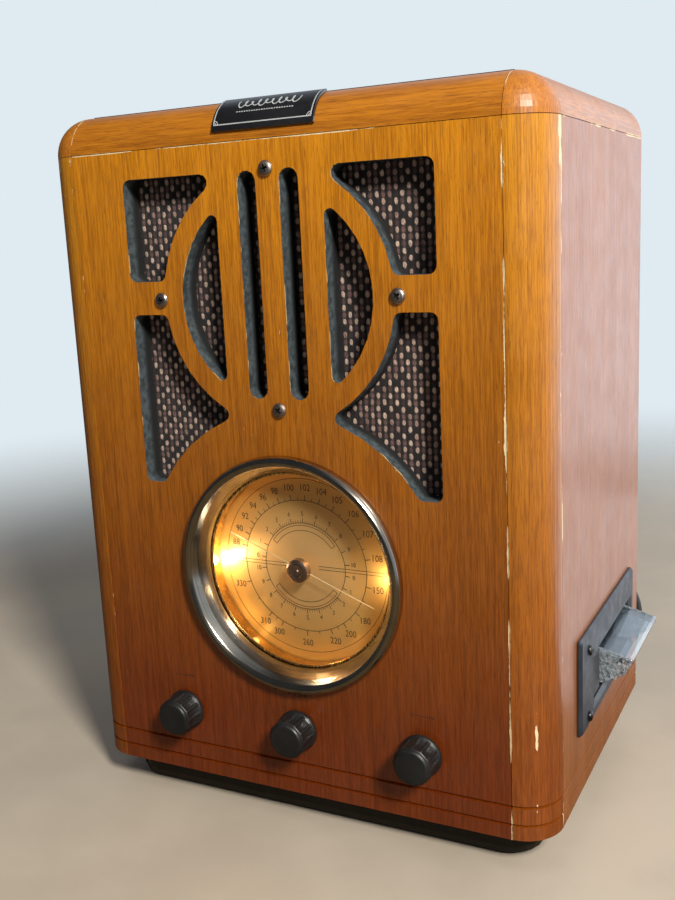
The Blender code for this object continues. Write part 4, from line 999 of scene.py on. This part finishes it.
# ---------------------------------------------------------------- deck
def build_flap():
    """Clear acrylic door: plate with a thick rounded lip and cheeks, on its hinge line."""
    hinge_x = 0.1272
    hinge_z = 0.079
    droop = math.radians(14)
    low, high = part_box("cassette_flap")
    y0, y1 = low.y, high.y

    def at(u, y, w):
        x = u * math.cos(droop) + w * math.sin(droop)
        z = -u * math.sin(droop) + w * math.cos(droop)
        return (hinge_x + x, y, hinge_z + z)

    cheek = 0.001
    plate = rounded([(0.0002, 0.001), (0.015, 0.001), (0.0172, 0.0013), (0.019, 0.0012), (0.0197, 0.0004),
                     (0.0197, -0.0012), (0.0188, -0.0013), (0.017, -0.001), (0.015, -0.0008),
                     (0.0002, -0.0008)], 0.0005, 3, closed=True)
    stations = [y0 + cheek, y0 + cheek + 0.0001, y1 - cheek - 0.0001, y1 - cheek]
    loops = [[at(u, y, w) for u, w in plate] for y in stations]
    door = skin("flap_plate", loops, sharp=30)
    side = [(-0.0016, 0.0004), (0.0, 0.0016), (0.01, 0.0013), (0.019, 0.001), (0.0197, 0.0002),
            (0.0197, -0.0012), (0.0178, -0.008), (0.015, -0.0108)]
    side += [(0.0185 * math.cos(a), 0.0185 * math.sin(a))
             for a in (math.radians(d) for d in (-42, -54, -66, -78, -84))]
    side += [(-0.001, -0.0165), (-0.0016, -0.01)]
    side = rounded(side, 0.0006, 3, closed=True)
    bm = bmesh.new()
    bm.from_mesh(door.data)
    plate_faces = len(bm.faces)
    bpy.data.objects.remove(door, do_unlink=True)
    middle_u, middle_w = (sum(values) / len(side) for values in zip(*side))
    for start, end in ((y0, y0 + cheek), (y1 - cheek, y1)):
        loops = []
        for y, share in ((start, 0.975), (start + 0.00025, 1.0), (end - 0.00025, 1.0), (end, 0.975)):
            loops.append([at(middle_u + (u - middle_u) * share, y, middle_w + (w - middle_w) * share)
                          for u, w in side])
        add_skin(bm, loops)
    for face in list(bm.faces)[plate_faces:]:
        face.material_index = 1
    flap = finish_mesh("deck_flap_clear", bm, 30)
    flap.data.materials.append(clear_plastic("flap_acrylic", (0.84, 0.89, 0.92), 0.14))
    flap.data.materials.append(cheek_acrylic(hinge_x))
    keep(flap, None, "deck_flap", ("cassette_flap",))


# ---------------------------------------------------------------- grille cloth
def build_cloth():
    """A woven sheet stretched over its board, with slow waves between its fixings."""
    low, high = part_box("grille_cloth")
    step = 0.002
    nx = round((high.x - low.x) / step)
    nz = round((high.z - low.z) / step)
    notch_r = 0.0617
    bm = bmesh.new()
    grid = {}
    for i in range(nx + 1):
        for j in range(nz + 1):
            x = low.x + (high.x - low.x) * i / nx
            z = low.z + (high.z - low.z) * j / nz
            reach = math.hypot(x, z - DIAL_Z)
            if reach < notch_r:
                if notch_r - reach > step * 0.9:
                    continue
                x, z = x * notch_r / reach, DIAL_Z + (z - DIAL_Z) * notch_r / reach
            wave = 0.00018 * math.sin(x * 61 + 1.1) * math.sin(z * 53 + 0.4)
            grid[i, j] = bm.verts.new((x, low.y + 0.0004 + wave, z))
    for i in range(nx):
        for j in range(nz):
            corners = [grid.get(key) for key in ((i, j), (i + 1, j), (i + 1, j + 1), (i, j + 1))]
            corners = [c for c in corners if c]
            if len(corners) > 2:
                bm.faces.new(corners)
    cloth = mesh_object("woven_cloth", bm)
    cloth.data.shade_smooth()
    keep(cloth, cloth_material(), nodes=("grille_cloth",))


# ---------------------------------------------------------------- carried-over solids
def paint(names, mat):
    for name in names:
        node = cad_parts[name]
        node.data.materials.clear()
        node.data.materials.append(mat)


def paint_front():
    """Veneer on the faces and edges, paint and painted shade on the sawn walls of the cut-outs."""
    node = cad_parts["front_panel"]
    low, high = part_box("front_panel")
    node.data.materials.clear()
    seams = [(0, -PANEL_HALF, 0.0009, -0.05), (0, PANEL_HALF, 0.0009, 0.16), (2, SEAM_Z, 0.0009, 0.21),
             (0, PANEL_HALF, 0.0015, 0.28, 2, 0.18, 0.262), (0, PANEL_HALF, 0.0012, 0.26, 2, 0.31, 0.341)]
    # The low and high colours carry painted shade, darker towards the floor.
    wood = veneer("veneer_front", 2, seams, low=(0.158, 0.026, 0.003), high=(0.62, 0.232, 0.006))
    node.data.materials.append(wood)
    node.data.materials.append(painted_wall())
    for face in node.data.polygons:
        x, y, z = face.center
        inside = low.x + 0.004 < x < high.x - 0.004 and low.z + 0.004 < z < high.z - 0.004
        if inside and abs(face.normal.y) < 0.5 and z > 0.17:
            face.material_index = 1


# The nodes, then the surface: name, two tones, scale, roughness and relief.
MOULDED = (
    (("base_board", "baffle_board"), "fibreboard", (0.3, 0.205, 0.12), (0.42, 0.3, 0.18), 1500.0, 0.9,
     0.0002),
    (("back_cover",), "hardboard_black", (0.02, 0.018, 0.017), (0.045, 0.04, 0.036), 1300.0, 0.72, 0.00012),
    # Painted shade: the cassette well is painted near-black, as shade inside the deck opening.
    (("cassette_well",), "well_plate", (0.02, 0.021, 0.024), (0.04, 0.042, 0.047), 1500.0, 0.5, 0.00005),
    (("speaker_cone",), "cone_paper", (0.02, 0.02, 0.021), (0.045, 0.043, 0.041), 900.0, 0.95, 0.0002),
    (("speaker_magnet",), "ferrite", (0.045, 0.045, 0.048), (0.09, 0.088, 0.086), 700.0, 0.6, 0.0001),
    (("dial_drum", "reel_spindle_supply", "reel_spindle_takeup"), "white_plastic", (0.66, 0.65, 0.6),
     (0.52, 0.5, 0.45), 600.0, 0.42, 0.00003),
    (("dial_belt",), "belt_yarn", (0.5, 0.45, 0.34), (0.3, 0.26, 0.19), 2600.0, 0.9, 0.0002),
    (("selector_switch",), "phenolic", (0.13, 0.065, 0.032), (0.2, 0.11, 0.055), 800.0, 0.5, 0.00005),
    (("circuit_board",), "board_green", (0.03, 0.135, 0.055), (0.055, 0.19, 0.08), 700.0, 0.45, 0.00004),
    (("cassette_bezel",), "deck_plastic", (0.021, 0.025, 0.034), (0.042, 0.048, 0.06), 2200.0, 0.44, 0.00008),
    (("eject_key",), "key_plastic", (0.014, 0.013, 0.013), (0.032, 0.03, 0.029), 1800.0, 0.42, 0.00006),
)


def paint_solids():
    paint_front()
    # The low and high colours given to each veneer below carry painted shade, darker towards the floor.
    seam_y = FRONT_Y + ROUND
    paint(["side_panel_left", "side_panel_right"],
          veneer("veneer_side", 2, [(1, seam_y, 0.0012, 0.12), (2, SEAM_Z, 0.0016, 0.18),
                                    (1, seam_y, 0.003, 0.22, 2, 0.3, 0.341)],
                 low=(0.32, 0.105, 0.022), high=(0.37, 0.125, 0.028), dull=0.1))
    posts = [(0, PANEL_HALF, 0.0009, 0.12), (1, seam_y, 0.0011, 0.24), (0, -PANEL_HALF, 0.0009, -0.05),
             (1, seam_y, 0.0052, 0.42, 2, 0.318, 0.342), (1, seam_y - 0.002, 0.0022, 0.24, 2, 0.205, 0.235),
             (0, 0.121, 0.0015, 0.13, 2, 0.022, 0.09)]
    paint(["corner_moulding_left", "corner_moulding_right"],
          veneer("veneer_post", 2, posts, low=(0.25, 0.058, 0.004), high=(0.62, 0.25, 0.008)))
    paint(["top_front_moulding"],
          veneer("veneer_top_front", 0, [(2, SEAM_Z, 0.0008, 0.12)], high=(0.48, 0.165, 0.007)))
    paint(["top_side_moulding_left", "top_side_moulding_right"],
          veneer("veneer_top_side", 1, [(2, SEAM_Z, 0.0014, 0.2)], high=(0.48, 0.165, 0.012), dull=0.06))
    paint(["top_corner_left", "top_corner_right"],
          veneer("veneer_corner", 2, [(2, SEAM_Z, 0.0012, 0.18), (0, PANEL_HALF, 0.0011, 0.2),
                                      (0, -PANEL_HALF, 0.0009, 0.1)], high=(0.52, 0.175, 0.008), dull=0.1))
    paint(["top_panel"], veneer("veneer_top", 0, (), high=(0.42, 0.13, 0.008), dull=0.02))
    # Painted shade: the front edge of the top panel is painted near-black, a dark line above the top front
    # moulding.
    top_edge_shade = speckled("top_edge_painted_shade", (0.03, 0.012, 0.006), (0.075, 0.03, 0.012), 900.0, 0.5, 0.00004)
    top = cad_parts["top_panel"].data
    top.materials.append(top_edge_shade)
    for face in top.polygons:
        if face.normal.y < -0.5:
            face.material_index = 1
    paint(["plinth"], speckled("plinth_lacquer", (0.008, 0.008, 0.009), (0.02, 0.019, 0.018), 160.0, 0.16,
                               0.00005, Coat_Weight=0.5, Coat_Roughness=0.08))
    for nodes, *surface in MOULDED:
        paint(nodes, speckled(*surface))
    paint(["speaker_frame", "tuning_capacitor", "volume_potentiometer"],
          plated("zinc_plate", (0.46, 0.47, 0.48), (0.3, 0.3, 0.31), 0.34))
    paint(["dial_shaft", "volume_shaft", "selector_shaft", "tuning_shaft"],
          plated("shaft_steel", (0.52, 0.52, 0.53), (0.34, 0.33, 0.32), 0.28))
    paint(["transformer"], plated("laminations", (0.17, 0.16, 0.155), (0.3, 0.19, 0.1), 0.45,
                                  along=(1.0, 1.0, 12.0)))
    soften(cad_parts["cassette_bezel"], 0.0003)
    soften(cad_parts["eject_key"], 0.0005, 3)
    for name in ("corner_moulding_left", "corner_moulding_right", "top_front_moulding",
                 "top_side_moulding_left", "top_side_moulding_right", "top_corner_left", "top_corner_right",
                 "plinth", "speaker_cone", "speaker_frame", "cord_strain_relief", "dial_drum"):
        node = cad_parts[name]
        smooth(node.data, 38)
        node.modifiers.new("even", "WEIGHTED_NORMAL").keep_sharp = True
    for name in ("top_panel", "side_panel_left", "side_panel_right", "front_panel"):
        soften(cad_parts[name], 0.00025, 2, 60)


# ---------------------------------------------------------------- studio
def hang(name, kind, place, power, colour):
    data = bpy.data.lights.new(name, kind)
    data.energy = power
    data.color = colour
    light = show(bpy.data.objects.new(name, data))
    light.location = place
    return light


def area_light(name, place, aim, size, power, colour, mirrored=True, shape="ELLIPSE"):
    light = hang(name, "AREA", place, power, colour)
    light.data.shape = shape
    light.data.size, light.data.size_y = size
    light.rotation_euler = (Vector(aim) - Vector(place)).to_track_quat("-Z", "Y").to_euler()
    light.visible_camera = False
    light.visible_glossy = mirrored


def dial_light(name, degrees, power):
    """A small warm lamp tucked under the rim of the dial's lens."""
    u, v = polar(0.0488, degrees)
    lamp = hang(name, "POINT", (u, FRONT_Y + 0.0122, DIAL_Z + v), power, (1.0, 0.84, 0.56))
    lamp.data.shadow_soft_size = 0.0022


def build_floor():
    """A pale floor that fades into the backdrop on every side, and shows dark brown in reflections as painted
    shade.
    """
    bm = bmesh.new()
    bmesh.ops.create_grid(bm, x_segments=8, y_segments=8, size=3.0)
    floor = show(mesh_object("floor", bm))
    s = Shader("floor_pale", 0.5)
    grain = s.noise(s.place, 9.0, 6.0, 0.6)
    s.colour(s.mix(s.spread(grain, 0.35, 0.65), (0.5, 0.43, 0.345), (0.56, 0.485, 0.39)))
    s.roughness(s.spread(grain, 0.3, 0.7, 0.45, 0.6))
    axes = s.axes()
    # Painted shade: glossy rays see the floor as a dark brown, as if it lay in shadow.
    dim = s.node("BsdfDiffuse", {"Color": (0.1, 0.075, 0.045)})
    base = s.blend(s.node("LightPath", out="Is Glossy Ray"), s.bsdf.outputs[0], dim)
    s.surface(s.blend(s.spread(s.length(axes[0], axes[1]), 0.42, 1.25), base, s.node("BsdfTransparent")))
    floor.data.materials.append(s.mat)


def build_world():
    """Pale behind the object; as a light it is soft, brightest from the right and dim from the front left."""
    world = bpy.data.worlds.new("studio")
    bpy.context.scene.world = world
    g = Graph(world)
    g.nodes.remove(g.nodes["Background"])
    seen = g.node("Background", {"Color": (0.74, 0.83, 0.88)})
    lit = g.node("Background", {"Color": (0.76, 0.82, 0.9), "Strength": 0.135})
    side = g.node("VectorMath", {0: g.node("TexCoord", out="Generated"), 1: (0.62, 0.77, 0.12)}, "Value",
                  operation="DOT_PRODUCT")
    level = g.ramp(side, -0.1, 0.9, 0.045, 1.0)
    mirrored = g.node("Background", {"Color": (0.7, 0.8, 0.92), "Strength": level})
    light = g.blend(g.node("LightPath", out="Is Glossy Ray"), lit, mirrored)
    g.surface(g.blend(g.node("LightPath", out="Is Camera Ray"), light, seen))


def build_studio():
    build_floor()
    build_world()
    cool = (0.92, 0.94, 1.0)
    area_light("window", (1.0, -0.92, 1.12), (0.0, -0.08, 0.24), (0.27, 0.36), 34.0, (1.0, 0.96, 0.88))
    area_light("side_card", (0.66, 0.5, 0.42), (0.13, 0.0, 0.36), (1.3, 0.95), 3.6, cool, shape="RECTANGLE")
    area_light("low_card", (0.38, 0.34, 0.004), (0.38, 0.34, 1.0), (0.42, 0.52), 0.75, cool,
               shape="RECTANGLE")
    area_light("overhead", (-0.15, -0.45, 1.25), (0.0, 0.0, 0.25), (0.7, 0.5), 1.4, (1.0, 0.96, 0.9),
               mirrored=False)
    dial_light("dial_lamp_left", 181, 0.05)
    dial_light("dial_lamp_right", -3, 0.024)
    dial_light("dial_lamp_low", -125, 0.0004)
    bpy.context.scene.view_settings.view_transform = "Standard"


build_camera()
BLACK_RUBBER = speckled("black_rubber", (0.012, 0.012, 0.013), (0.03, 0.03, 0.031), 900.0, 0.48, 0.00004)
build_lead(BLACK_RUBBER)
build_dial()
build_knobs()
build_control_marks()
build_screws()
build_badge()
build_flap()
build_cloth()
paint_solids()
build_studio()
